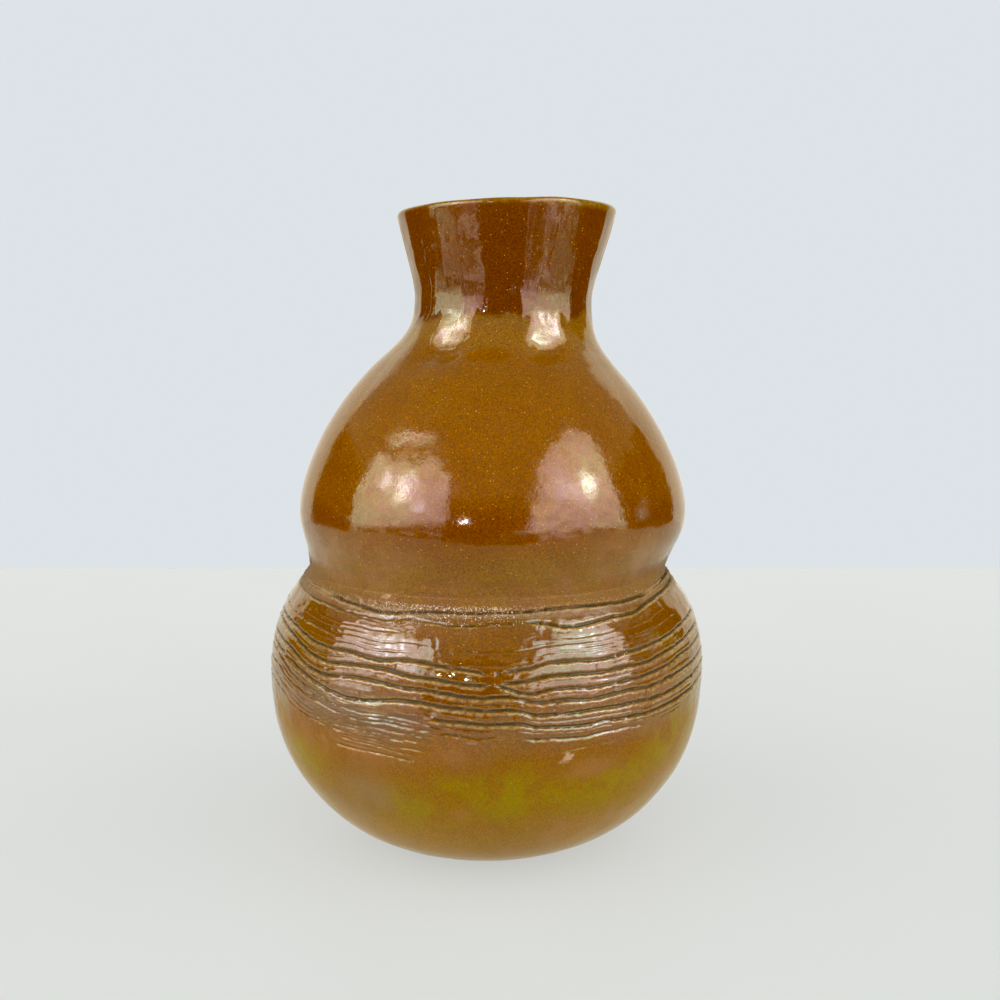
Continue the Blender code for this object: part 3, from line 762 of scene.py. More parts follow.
def ring(name, z_outer, columns, inner_r, inner_z, seed, steps, below=False, low=0.0, high=0.0):
    """A ring section: outer surface, joint face on top, inner wall, joint face below. The
    joint face at the waist climbs (or drops) behind the slip in steps of (in, up)."""
    azimuth, u = around(columns)
    p, n, masks = outer_grid(z_outer, azimuth)
    q, qn = inner_grid(inner_r, inner_z, azimuth, seed)
    rows = [p[i] for i in range(len(p))]
    row_masks = [pick(masks, i) for i in range(len(p))]
    v = np.interp(arc(z_outer), [arc(z_outer[0]), arc(z_outer[-1])], [0.16, 0.99])
    bands = [(i, i + 1, n[i], n[i + 1], v[i], v[i + 1]) for i in range(len(p) - 1)]
    a = np.radians(azimuth)
    out = np.stack([np.sin(a), -np.cos(a), 0 * a], 1)
    up = np.broadcast_to([0.0, 0.0, 1.0], out.shape)
    tilt = (out + up) / math.sqrt(2)
    down_tilt = (out - up) / math.sqrt(2)

    def ledge(ring, steps, sign):
        made = []
        for further_in, further_up in steps:
            made.append(ring - out * further_in + up * further_up * sign)
        return made

    last = len(rows) - 1
    if below:
        top = [np.stack([*(p[-1] - n[-1] * 0.0006).T[:2], p[-1][:, 2] - JOINT_RECESS], 1)]
    else:
        top = ledge(p[-1], [(0.0006, -JOINT_RECESS)] + steps, 1)
    for k, ring in enumerate(top):
        rows.append(ring)
        row_masks.append({"bare": 1.0})
        facing = up if k == 0 or below else tilt
        bands.append((last, last + 1, facing, facing, 0.120 + 0.001 * k, 0.121 + 0.001 * k))
        last += 1
    first_inner = len(rows)
    for i in reversed(range(len(q))):
        rows.append(q[i])
        row_masks.append({"inside": 1.0})
    bands.append((last, first_inner, up, up, 0.124, 0.128))
    w = np.linspace(0.105, 0.015, len(q))
    for i in range(len(q) - 1):
        bands.append((first_inner + i, first_inner + i + 1, -qn[len(q) - 1 - i], -qn[len(q) - 2 - i], w[i], w[i + 1]))
    last = len(rows) - 1
    if below:
        foot = ledge(p[0], [(0.0006, -JOINT_RECESS)] + steps, -1)[::-1]
    else:
        foot = [np.stack([*(p[0] - n[0] * 0.0006).T[:2], p[0][:, 2] + JOINT_RECESS], 1)]
    for k, ring in enumerate(foot):
        rows.append(ring)
        row_masks.append({"bare": 1.0})
        facing = -up if (k == 0 or not below) else down_tilt
        bands.append((last, last + 1, facing, facing, 0.136 + 0.001 * k, 0.137 + 0.001 * k))
        last += 1
    bands.append((last, 0, -up, -up, 0.141, 0.143))
    crumbs = crumb_bodies(crumb_places(low, high), p, n, azimuth, z_outer, 0.147, 0.158)
    return build(name, rows, row_masks, bands, u, crumbs=crumbs)


def waist_slip_seam():
    z = heights(SEAM_FOOT, SEAM_TOP, 0.00028)
    azimuth, u = around(900)
    p, n, masks = outer_grid(z, azimuth)
    rows = [p[i] for i in range(len(p))]
    row_masks = [pick(masks, i) for i in range(len(p))]
    v = np.linspace(0.16, 0.99, len(p))
    bands = [(i, i + 1, n[i], n[i + 1], v[i], v[i + 1]) for i in range(len(p) - 1)]
    a = np.radians(azimuth)
    out = np.stack([np.sin(a), -np.cos(a), 0 * a], 1)
    up = np.broadcast_to([0.0, 0.0, 1.0], out.shape)
    # The back of the bead: a wedge that reaches towards the joint of the two bulbs.
    middle = 0.5 * (p[0] + p[-1])
    middle = np.stack([middle[:, 0], middle[:, 1], np.full(len(middle), WAIST)], 1) - out * 0.0050
    rows.append(middle)
    row_masks.append({"bare": 1.0})
    last = len(rows) - 1
    high = (-out + up) / math.sqrt(2)
    low = (-out - up) / math.sqrt(2)
    bands.append((last - 1, last, high, high, 0.120, 0.130))
    bands.append((last, 0, low, low, 0.130, 0.140))
    crumbs = crumb_bodies(crumb_places(SEAM_FOOT, SEAM_TOP), p, n, azimuth, z, 0.02, 0.11)
    return build("visual_waist_slip_seam", rows, row_masks, bands, u, crumbs=crumbs)


def upper_bulb():
    z = heights(SEAM_TOP, COLLAR, 0.00100)
    r, levels = inner_profile(WAIST + 0.0040, COLLAR - 0.0006, WALL)
    r = np.concatenate([[0.0616], r])
    levels = np.concatenate([[WAIST + 0.0006], levels])
    return ring("visual_upper_bulb", z, 470, r, levels, 44,
                [(0.0016, 0.0022), (0.0034, 0.0044)], below=True)


def neck_collar():
    azimuth, u = around(430)
    turn_z = HEIGHT - 0.0019
    z = heights(COLLAR, turn_z, 0.00075)
    p, n, masks = outer_grid(z, azimuth)
    rows = [p[i] for i in range(len(p))]
    row_masks = [pick(masks, i) for i in range(len(p))]
    a = np.radians(azimuth)
    out = np.stack([np.sin(a), -np.cos(a), 0 * a], 1)
    up = np.broadcast_to([0.0, 0.0, 1.0], out.shape)
    thick = LIP_THICKNESS * (1 + 0.07 * line_noise(azimuth, 26, 18) + 0.05 * line_noise(azimuth, 9, 19))
    rise = 0.0019 * (1 + 0.06 * line_noise(azimuth, 17, 17))
    centre = p[-1] - out * (thick / 2)[:, None]
    lip_rows = []
    for t in np.linspace(0, math.pi, 25)[1:-1]:
        c, s_ = math.cos(t), math.sin(t)
        across = math.copysign(abs(c) ** 0.62, c)
        lip_rows.append(centre + out * (thick / 2 * across)[:, None] + up * (rise * abs(s_) ** 0.70)[:, None])
    for ring in lip_rows:
        rows.append(ring)
        row_masks.append({"inside": 0.0})
    inner_levels = np.linspace(turn_z, COLLAR + 0.0006, 34)
    base = base_radius(inner_levels)
    wall = NECK_WALL + (LIP_THICKNESS - NECK_WALL) * smooth(0.225, HEIGHT, inner_levels)
    wall = wall + 0.0030 * (1 - smooth(COLLAR, 0.202, inner_levels))
    d_out, lift, _ = relief(azimuth, inner_levels)
    p0 = place((base - wall)[:, None], azimuth[None, :], inner_levels[:, None])
    wob = 0.0004 * noise(p0, 0.024, 51) + 0.00016 * noise(p0 * [0.3, 0.3, 1], 0.006, 52)
    join = smooth(0, 0.2, np.linspace(0, 1, len(inner_levels)))[:, None]
    rr = (base - wall)[:, None] + 0.6 * d_out + wob * join
    q = np.stack([lean(inner_levels)[:, None] + rr * np.sin(a), -rr * np.cos(a),
                  inner_levels[:, None] + lift], -1)
    # meet the lip exactly, and let the difference die away down the wall
    start = centre - out * (thick / 2)[:, None]
    q = q + (start - q[0])[None] * (1 - join)[..., None]
    first_lip, first_inner = len(p), len(rows)
    for i in range(len(q)):
        rows.append(q[i])
        row_masks.append({"inside": float(smooth(0, 0.12, i / (len(q) - 1)))})
    grid = np.stack(rows)
    nn = normals_of(grid)
    nn[: len(p) - 1] = n[:-1]
    v = np.concatenate([
        np.linspace(0.30, 0.92, len(p)),
        np.linspace(0.925, 0.99, len(lip_rows)),
    ])
    bands = [(i, i + 1, nn[i], nn[i + 1], v[i], v[i + 1]) for i in range(first_inner - 1)]
    w = np.linspace(0.26, 0.03, len(q))
    bands.append((first_inner - 1, first_inner, nn[first_inner - 1], nn[first_inner], 0.27, 0.26))
    for i in range(len(q) - 1):
        bands.append((first_inner + i, first_inner + i + 1, nn[first_inner + i], nn[first_inner + i + 1], w[i], w[i + 1]))
    last = len(rows) - 1
    foot = p[0] - n[0] * 0.0006
    foot = np.stack([foot[:, 0], foot[:, 1], p[0][:, 2] + JOINT_RECESS], 1)
    rows.append(foot)
    row_masks.append({"bare": 1.0})
    bands.append((last, last + 1, -up, -up, 0.278, 0.284))
    bands.append((last + 1, 0, -up, -up, 0.284, 0.288))
    return build("visual_neck_collar", rows, row_masks, bands, u)


def floor_slab():
    azimuth, u = around(446)
    z = heights(0.0, FOOT_TOP, 0.0010)
    p, n, masks = outer_grid(z, azimuth)
    p[0][:, 2] = 0.0
    rows = [p[i] for i in range(len(p))]
    row_masks = [pick(masks, i) for i in range(len(p))]
    row_masks[0] = dict(row_masks[0], bare=0.55)
    a = np.radians(azimuth)
    out = np.stack([np.sin(a), -np.cos(a), 0 * a], 1)
    up = np.broadcast_to([0.0, 0.0, 1.0], out.shape)
    v = np.linspace(0.80, 0.99, len(p))
    bands = [(i, i + 1, n[i], n[i + 1], v[i], v[i + 1]) for i in range(len(p) - 1)]
    last = len(rows) - 1
    edge = np.stack([*(p[-1] - n[-1] * 0.0006).T[:2], p[-1][:, 2] - JOINT_RECESS], 1)
    rows.append(edge)
    row_masks.append({"bare": 1.0})
    bands.append((last, last + 1, up, up, 0.78, 0.785))
    # The floor inside: a flat disc, a little dished.
    for k, (r, sink) in enumerate(((0.046, 0.0002), (0.036, 0.0007), (0.024, 0.0011), (0.012, 0.0013))):
        rows.append(out * r + up * (FOOT_TOP - sink))
        row_masks.append({"inside": 1.0})
        bands.append((last + 1 + k, last + 2 + k, up, up, 0.77 - 0.06 * k, 0.71 - 0.06 * k))
    top_ring = len(rows) - 1
    # The flat foot: bare clay, with the outermost 2 mm rounded up to the glaze.
    flat = out * 0.0392 + up * 0.0
    rows.append(flat)
    row_masks.append({"bare": 1.0})
    bands.append((len(rows) - 1, 0, -up, -up, 0.48, 0.50))
    caps = [
        (top_ring, (0.0, 0.0, 1.0), (0.0, 0.0, FOOT_TOP - 0.0013), False, {"inside": 1.0}, (0.25, 0.23, 0.2)),
        (len(rows) - 1, (0.0, 0.0, -1.0), (0.0, 0.0, 0.0), True, {"bare": 1.0}, (0.75, 0.23, 0.2)),
    ]
    return build("visual_floor_slab", rows, row_masks, bands, u, caps=caps)


# ---------------------------------------------------------------- the glaze
class Graph:
    """A small helper to write shader nodes one per line."""

    def __init__(self, material):
        material.use_nodes = True
        self.tree = material.node_tree
        self.tree.nodes.clear()
        self.x = 0

    def node(self, kind, **settings):
        made = self.tree.nodes.new(kind)
        made.location = (self.x, 0)
        self.x += 180
        for name, value in settings.items():
            setattr(made, name, value)
        return made

    def put(self, value, socket):
        if isinstance(value, bpy.types.NodeSocket):
            self.tree.links.new(value, socket)
        else:
            socket.default_value = value

    def math(self, operation, a, b=None, c=None, clamp=False):
        made = self.node("ShaderNodeMath", operation=operation, use_clamp=clamp)
        for value, socket in zip((a, b, c), made.inputs):
            if value is not None:
                self.put(value, socket)
        return made.outputs[0]

    def mix(self, factor, a, b, blend="MIX"):
        made = self.node("ShaderNodeMix", data_type="RGBA", blend_type=blend, clamp_factor=True)
        self.put(factor, made.inputs["Factor"])
        self.put(a, made.inputs["A"] if isinstance(a, float) else made.inputs[6])
        self.put(b, made.inputs[7])
        return made.outputs[2]

    def noise(self, scale, detail=2.0, roughness=0.5, vector=None, distortion=0.0):
        made = self.node("ShaderNodeTexNoise")
        made.inputs["Scale"].default_value = scale
        made.inputs["Detail"].default_value = detail
        made.inputs["Roughness"].default_value = roughness
        made.inputs["Distortion"].default_value = distortion
        self.put(vector, made.inputs["Vector"])
        return made.outputs["Fac"]

    def step(self, value, low, high, to_low=0.0, to_high=1.0):
        made = self.node("ShaderNodeMapRange", interpolation_type="SMOOTHSTEP", clamp=True)
        self.put(value, made.inputs["Value"])
        made.inputs["From Min"].default_value = low
        made.inputs["From Max"].default_value = high
        made.inputs["To Min"].default_value = to_low
        made.inputs["To Max"].default_value = to_high
        return made.outputs["Result"]

    def attribute(self, name):
        made = self.node("ShaderNodeAttribute", attribute_name=name)
        return made.outputs["Fac"]

    def ramp(self, value, stops):
        made = self.node("ShaderNodeValToRGB")
        band = made.color_ramp
        band.interpolation = "EASE"
        while len(band.elements) < len(stops):
            band.elements.new(0.5)
        for element, (at, colour) in zip(band.elements, stops):
            element.position = at
            element.color = (*colour, 1.0)
        self.put(value, made.inputs["Fac"])
        return made.outputs["Color"]


def glaze(name, rough=0.068, sheen=(0.95, 0.96, 0.80, 1.0), skin=(388.0, 424.0), index=1.62, low_sheen=None, film_index=1.565, grooved=True):
    material = bpy.data.materials.new(name)
    g = Graph(material)
    where = g.node("ShaderNodeTexCoord").outputs["Object"]
    part = g.node("ShaderNodeSeparateXYZ")
    g.put(where, part.inputs[0])
    height = g.math("DIVIDE", part.outputs["Z"], 0.25)
    wander = g.noise(40.0, 4.0, 0.6, where)
    height = g.math("ADD", height, g.math("MULTIPLY", g.math("SUBTRACT", wander, 0.5), 0.075))

    # Colour by height, from the rosy brown foot to the dark neck. It carries painted light as well as the glaze's tint:
    # darker over the lower half of the upper bulb, painted shade of a light that falls from above, and paler at the
    # foot of the neck, a painted reflection.
    base = g.ramp(
        height,
        (
            (0.00, (0.262, 0.122, 0.032)),
            (0.06, (0.242, 0.114, 0.016)),
            (0.15, (0.208, 0.090, 0.0045)),
            (0.22, (0.184, 0.065, 0.0035)),
            (0.30, (0.180, 0.064, 0.0035)),
            (0.375, (0.178, 0.063, 0.0035)),
            (0.410, (0.190, 0.084, 0.0130)),
            (0.450, (0.196, 0.085, 0.0080)),
            # painted shade: darker over the lower half of the upper bulb
            (0.530, (0.165, 0.050, 0.0030)),
            (0.568, (0.204, 0.074, 0.0090)),
            (0.700, (0.212, 0.079, 0.0100)),
            (0.755, (0.202, 0.077, 0.0110)),
            # painted reflection: the paler band at the foot of the neck
            (0.795, (0.222, 0.102, 0.0170)),
            (0.812, (0.212, 0.102, 0.0200)),
            (0.822, (0.128, 0.036, 0.0025)),
            (1.00, (0.150, 0.044, 0.0030)),
        ),
    )
    # Thicker and thinner glaze: slow clouds, then grain.
    clouds = g.step(g.noise(48.0, 3.0, 0.55, where), 0.30, 0.72)
    base = g.mix(g.math("MULTIPLY", clouds, 0.66), base, g.mix(1.0, base, (0.82, 0.72, 0.55, 1.0), "MULTIPLY"))
    grain = g.noise(1750.0, 3.0, 0.65, where)
    coarse = g.noise(520.0, 2.0, 0.5, where)
    speckle = g.math("ADD", g.math("MULTIPLY", grain, 0.92), g.math("MULTIPLY", coarse, 0.08))
    light = g.step(speckle, 0.36, 0.64, 0.66, 1.36)
    tint = g.node("ShaderNodeCombineXYZ")
    for socket in tint.inputs[:3]:
        g.put(light, socket)
    base = g.mix(1.0, base, tint.outputs[0], "MULTIPLY")

    # Olive and yellow-green where the glaze has run together low on the pot.
    olive = g.attribute("olive")
    uneven = g.noise(95.0, 4.0, 0.62, where)
    olive = g.math("MULTIPLY", olive, g.step(uneven, 0.38, 0.56, 0.22, 1.0), clamp=True)
    base = g.mix(g.math("MULTIPLY", olive, 0.92), base, (0.207, 0.139, 0.0014, 1.0))
    # Rosy patches of the glaze; the two under the upper bulb are a painted reflection of the pale floor.
    rose_and_reflection = g.attribute("rose_and_reflection")
    rose_and_reflection = g.math("MULTIPLY", rose_and_reflection, g.step(uneven, 0.60, 0.40, 0.30, 1.0), clamp=True)
    base = g.mix(g.math("MULTIPLY", rose_and_reflection, 0.8), base, (0.262, 0.118, 0.050, 1.0))
    mauve = g.attribute("mauve")
    base = g.mix(g.math("MULTIPLY", mauve, 0.8), base, (0.205, 0.118, 0.056, 1.0))
    base = g.mix(g.math("MULTIPLY", g.step(olive, 0.0, 0.8), 0.35), base, g.mix(1.0, base, tint.outputs[0], "MULTIPLY"))

    # Tiny gold and dark specks of the clay showing through.
    cells = g.node("ShaderNodeTexVoronoi", feature="F1", distance="EUCLIDEAN")
    cells.inputs["Scale"].default_value = 1020.0
    g.put(where, cells.inputs["Vector"])
    pick_cell = g.node("ShaderNodeSeparateColor")
    g.put(cells.outputs["Color"], pick_cell.inputs[0])
    near = g.step(cells.outputs["Distance"], 0.30, 0.12)
    gold = g.math("MULTIPLY", near, g.step(pick_cell.outputs[0], 0.78, 1.0))
    gold = g.math("MULTIPLY", gold, g.step(part.outputs["Z"], 0.085, 0.112, 0.30, 0.75))
    base = g.mix(gold, base, (0.62, 0.37, 0.10, 1.0))
    dark = g.math("MULTIPLY", near, g.step(pick_cell.outputs[1], 0.80, 0.98))
    base = g.mix(g.math("MULTIPLY", dark, 0.6), base, (0.060, 0.026, 0.004, 1.0))

    # Strokes of the comb: brown where they cut, beige where they leave the clay proud.
    streak = g.attribute("streak")
    cut = g.step(streak, -0.12, -0.70)
    base = g.mix(g.math("MULTIPLY", cut, 0.78), base, (0.080, 0.040, 0.009, 1.0))
    proud = g.math("MULTIPLY", g.step(streak, 0.15, 0.75), g.step(coarse, 0.36, 0.60, 0.35, 1.0))
    base = g.mix(g.math("MULTIPLY", proud, 0.55), base, (0.43, 0.265, 0.110, 1.0))
    # Grooves hold a thick grey-green pooled glaze, shallow ones are brown, and the deep ones are darkened further as
    # painted shade in the groove. Burrs are paler where the glaze wears thin, partly as a painted highlight along their
    # crests; crumbs wear the glaze thin.
    groove = g.attribute("groove")
    broken = g.step(coarse, 0.36, 0.56, 0.55, 1.0)
    scratch = g.math("MULTIPLY", g.step(groove, 0.08, 0.40), broken)
    base = g.mix(g.math("MULTIPLY", scratch, 0.78), base, (0.098, 0.054, 0.014, 1.0))
    # painted shade: the deep grooves and the crease are darker than the pooled glaze alone
    pool_and_shade = g.math("MULTIPLY", g.step(groove, 0.38, 0.92), broken)
    slip = g.attribute("slip")
    deep = g.mix(g.step(slip, 0.25, 0.80), (0.034, 0.033, 0.010, 1.0), (0.034, 0.017, 0.009, 1.0))
    base = g.mix(g.math("MULTIPLY", pool_and_shade, 0.92), base, deep)
    # Burrs: paler where the glaze wears thin, and partly a painted highlight along their crests.
    burr = g.attribute("burr")
    worn_and_highlight = g.math("MULTIPLY", g.step(burr, 0.10, 0.80), g.step(coarse, 0.36, 0.60, 0.35, 1.0))
    base = g.mix(g.math("MULTIPLY", worn_and_highlight, 0.55), base, (0.48, 0.310, 0.120, 1.0))
    flecks = g.noise(900.0, 2.0, 0.6, where)
    thin = g.math("MULTIPLY", g.step(slip, 0.35, 0.95), g.step(flecks, 0.53, 0.62))
    base = g.mix(g.math("MULTIPLY", thin, 0.38), base, (0.56, 0.38, 0.24, 1.0))
    gone = g.math("MULTIPLY", g.step(slip, 0.30, 0.95), g.step(flecks, 0.47, 0.38))
    base = g.mix(g.math("MULTIPLY", gone, 0.55), base, (0.070, 0.034, 0.012, 1.0))
    chip = g.attribute("chip")
    base = g.mix(g.math("MULTIPLY", chip, 0.85), base, (0.50, 0.33, 0.21, 1.0))
    crumb = g.attribute("crumb")
    base = g.mix(crumb, base, (0.82, 0.66, 0.50, 1.0))
    rim = g.math("MULTIPLY", g.step(part.outputs["Z"], 0.2424, 0.2446), g.step(coarse, 0.34, 0.6, 0.35, 0.85))
    base = g.mix(rim, base, (0.250, 0.135, 0.020, 1.0))
    inside = g.attribute("inside")
    base = g.mix(g.math("MULTIPLY", inside, 0.8), base, (0.200, 0.070, 0.008, 1.0))
    bare = g.attribute("bare")
    clay = g.mix(g.noise(700.0, 3.0, 0.6, where), (0.42, 0.29, 0.19, 1.0), (0.54, 0.40, 0.28, 1.0))
    base = g.mix(bare, base, clay)

    # Gloss: a fluid coat, dulled a little in patches, rough on bare clay.
    rough_value = g.math("ADD", rough, g.step(g.noise(150.0, 3.0, 0.6, where), 0.42, 0.75, 0.0, 0.08))
    rough_value = g.math("ADD", rough_value, g.step(g.noise(1250.0, 2.0, 0.6, where), 0.53, 0.66, 0.0, 0.13))
    rough_value = g.math("ADD", rough_value, g.math("MULTIPLY", pool_and_shade, 0.16))
    rough_value = g.math("ADD", rough_value, g.math("MULTIPLY", g.attribute("matt"), 0.50))
    rough_value = g.math("ADD", rough_value, g.math("MULTIPLY", crumb, 0.22))
    rough_value = g.math("ADD", rough_value, g.math("MULTIPLY", chip, 0.25))
    rough_value = g.math("ADD", rough_value, g.math("MULTIPLY", bare, 0.55))

    # Relief finer than the mesh: the skin of the glaze over gritty clay.
    ripple = g.noise(240.0, 2.0, 0.5, where)
    grit = g.noise(1100.0, 3.0, 0.6, where)
    pits = g.step(cells.outputs["Distance"], 0.0, 0.14, -1.0, 0.0)
    pits = g.math("MULTIPLY", pits, g.step(pick_cell.outputs[1], 0.90, 0.95))
    ripple = g.math("MULTIPLY", ripple, g.step(part.outputs["Z"], 0.110, 0.122, 0.66, 0.42))
    relief_sum = g.math("ADD", ripple, g.math("MULTIPLY", grit, 0.15))
    relief_sum = g.math("ADD", relief_sum, g.math("MULTIPLY", coarse, 0.26))
    relief_sum = g.math("ADD", relief_sum, g.math("MULTIPLY", pits, 0.5))
    bump = g.node("ShaderNodeBump")
    bump.inputs["Strength"].default_value = 1.0
    bump.inputs["Distance"].default_value = 0.00011
    g.put(relief_sum, bump.inputs["Height"])

    shader = g.node("ShaderNodeBsdfPrincipled")
    g.put(base, shader.inputs["Base Color"])
    g.put(rough_value, shader.inputs["Roughness"])
    g.put(bump.outputs["Normal"], shader.inputs["Normal"])
    # A lustre: a skin thinner than a hair, uneven, which tints what the glaze mirrors.
    film = g.math("ADD", g.step(g.noise(60.0, 2.0, 0.5, where), 0.30, 0.70, *skin),
                  g.step(g.noise(700.0, 2.0, 0.6, where), 0.32, 0.68, -20.0, 20.0))
    g.put(film, shader.inputs["Thin Film Thickness"])
    shader.inputs["Thin Film IOR"].default_value = film_index
    shader.inputs["IOR"].default_value = index
    shader.inputs["Specular Tint"].default_value = sheen
    if grooved:
        # Below the combed band the lustre has more gold in it. In the grooves the tint of what the glaze mirrors is
        # darkened: painted shade of the groove's walls.
        lustre = g.mix(g.step(height, 0.215, 0.265), low_sheen, sheen) if low_sheen else sheen
        lustre = g.mix(g.math("MULTIPLY", g.step(groove, 0.15, 0.75), 0.86), lustre, (0.30, 0.28, 0.20, 1.0))
        g.put(lustre, shader.inputs["Specular Tint"])
    out = g.node("ShaderNodeOutputMaterial")
    g.tree.links.new(shader.outputs[0], out.inputs["Surface"])
    return material


# Where the lower glaze turns olive, rosy and greyish, and where it has chipped, with two rosy patches that are a
# painted reflection of the pale floor under the upper bulb: azimuth in degrees, height in mm, the half sizes and how
# much.
PATCHES = {
    "olive": (
        (11, 39.5, 15, 11.0, 1.0),
        (2, 43.5, 8, 7.5, 0.95),
        (-17, 36, 13, 9.0, 0.85),
        (-5, 46, 8, 4.0, 0.70),
        (33, 40.5, 17, 10.5, 0.90),
        (50, 52, 12, 14, 0.75),
        (64, 60, 12, 16, 0.60),
        (-51.5, 45, 9, 8.0, 0.85),
        (-63, 34, 14, 8, 0.5),
        (100, 38, 40, 12, 0.8),
        (165, 30, 36, 9, 0.8),
        (220, 42, 30, 12, 0.7),
        (262, 34, 26, 9, 0.6),
        (-54, 88, 9, 5, 0.60),
        (55, 84, 14, 9, 0.30),
        (-24, 95, 6, 3, 0.35),
    ),
    "rose_and_reflection": (
        (-36, 56, 22, 8.0, 0.90),
        (-46, 66, 18, 9, 0.70),
        (-8, 55.5, 9, 5.0, 0.55),
        (25, 49.5, 7, 4.0, 0.7),
        (-5, 33.5, 3.6, 3.2, 0.55),
        (38, 23, 26, 8, 0.95),
        (52, 33, 9, 7, 0.55),
        (0, 12, 60, 6, 0.6),
        (-40, 16, 24, 6, 0.8),
        (-62, 27, 12, 8, 0.6),
        (-22, 97, 14, 3.5, 0.35),
        (24, 96, 12, 3.5, 0.30),
        # painted reflection: the pale floor mirrored on the underside of the upper bulb, as a lighter rosy patch
        (-47, 118.5, 25, 9, 1.0),
        (46, 118.5, 25, 9, 1.0),
        (130, 50, 30, 9, 0.6),
        (200, 14, 60, 8, 0.7),
        (250, 56, 26, 8, 0.6),
    ),
    "mauve": (
        (-30, 38, 8.5, 9, 0.9),
        (-42, 28, 12, 8, 0.6),
    (-40, 73, 18, 8, 0.45),        (115, 26, 24, 8, 0.5),
        (185, 52, 20, 8, 0.5),
    ),
    "chip": (
        (19.5, 55.0, 1.1, 1.2, 0.80),
        (18.2, 53.2, 1.4, 0.6, 0.35),
        (-28.9, 106.4, 1.3, 0.7, 0.50),
        (35.6, 85.4, 0.8, 1.1, 0.30),
        (-11.5, 70.8, 0.6, 0.9, 0.40),
        (-12.9, 69.5, 0.9, 0.4, 0.35),
        (-2.6, 61.5, 1.2, 0.45, 0.25),
        (140, 71.5, 1.2, 0.9, 0.6),
        (232, 90.0, 1.0, 1.0, 0.5),
    ),
}


def paint(piece):
    """Adds the masks of the patches, with wandering outlines, on the outside."""
    mesh = piece.data
    co = np.empty(len(mesh.vertices) * 3, np.float32)
    mesh.vertices.foreach_get("co", co)
    co = co.reshape(-1, 3).astype(float)
    azimuth = np.degrees(np.arctan2(co[:, 0] - lean(co[:, 2]), -co[:, 1]))
    level = co[:, 2] * 1000
    slow = noise(co, 0.016, 71), noise(co, 0.016, 72)
    fast = noise(co, 0.0052, 73), noise(co, 0.0052, 74)
    fine = noise(co, 0.0013, 75)
    for name, spots in PATCHES.items():
        value = np.zeros(len(co))
        for at, z, wide, tall, amount in spots:
            da = (azimuth - at + 180) % 360 - 180
            if name == "chip":
                reach = np.abs(da / wide) ** 3 + np.abs((level - z) / tall) ** 3 + 1.5 * fine
                value = np.maximum(value, amount * smooth(1.5, 0.8, reach))
                continue
            da = da + wide * (0.34 * slow[0] + 0.22 * fast[0])
            dz = level - z + tall * (0.34 * slow[1] + 0.22 * fast[1])
            value = np.maximum(value, amount * np.exp(-((da / wide) ** 2 + (dz / tall) ** 2) ** 1.3))
        layer = mesh.attributes.new(name, "FLOAT", "POINT")
        layer.data.foreach_set("value", value.astype(np.float32))


amber = glaze("amber_lustre_glaze", grooved=False)
olive_glaze = glaze("olive_lustre_glaze", 0.068, (0.92, 1.0, 0.84, 1.0), (384.0, 432.0), 1.80, (0.90, 0.76, 0.38, 1.0), 1.750)
slip_glaze = glaze("thin_glazed_slip", 0.095, (0.96, 0.97, 0.86, 1.0), (378.0, 438.0))

for made, node, slot, finish in (
    (floor_slab(), "floor_slab", "olive_lustre_glaze", olive_glaze),
    (lower_bulb(), "lower_bulb", "olive_lustre_glaze", olive_glaze),
    (waist_slip_seam(), "waist_slip_seam", "thin_glazed_slip", slip_glaze),
    (upper_bulb(), "upper_bulb", "amber_lustre_glaze", amber),
    (neck_collar(), "neck_collar", "amber_lustre_glaze", amber),
):
    paint(made)
    made.data.materials.append(finish)
    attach(made, "root")
    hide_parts(node)
    print(made.name, len(made.data.vertices), sum(len(p.vertices) - 2 for p in made.data.polygons))


# ---------------------------------------------------------------- floor
def floor():
    body = bmesh.new()
    bmesh.ops.create_cube(body, size=1.0)
    bmesh.ops.scale(body, vec=(1.24, 0.93, 0.02), verts=body.verts)
    bmesh.ops.translate(body, vec=(0.0, 0.085, -0.0101), verts=body.verts)
    bmesh.ops.bevel(body, geom=list(body.edges), offset=0.002, segments=3, affect="EDGES")
    mesh = bpy.data.meshes.new("pale_floor")
    body.to_mesh(mesh)
    body.free()
    made = bpy.data.objects.new("pale_floor", mesh)
    bpy.context.scene.collection.objects.link(made)
    material = bpy.data.materials.new("pale_floor")
    g = Graph(material)
    where = g.node("ShaderNodeTexCoord").outputs["Object"]
    shade = g.mix(g.noise(9.0, 3.0, 0.5, where), (0.203, 0.208, 0.199, 1.0), (0.225, 0.230, 0.221, 1.0))
    shader = g.node("ShaderNodeBsdfPrincipled")
    g.put(shade, shader.inputs["Base Color"])
    shader.inputs["Roughness"].default_value = 0.6
    shader.inputs["Specular IOR Level"].default_value = 0.25
    shader.inputs["Emission Color"].default_value = (0.97, 1.0, 0.985, 1.0)
    shader.inputs["Emission Strength"].default_value = 0.500
    out = g.node("ShaderNodeOutputMaterial")
    g.tree.links.new(shader.outputs[0], out.inputs["Surface"])
    mesh.materials.append(material)


floor()


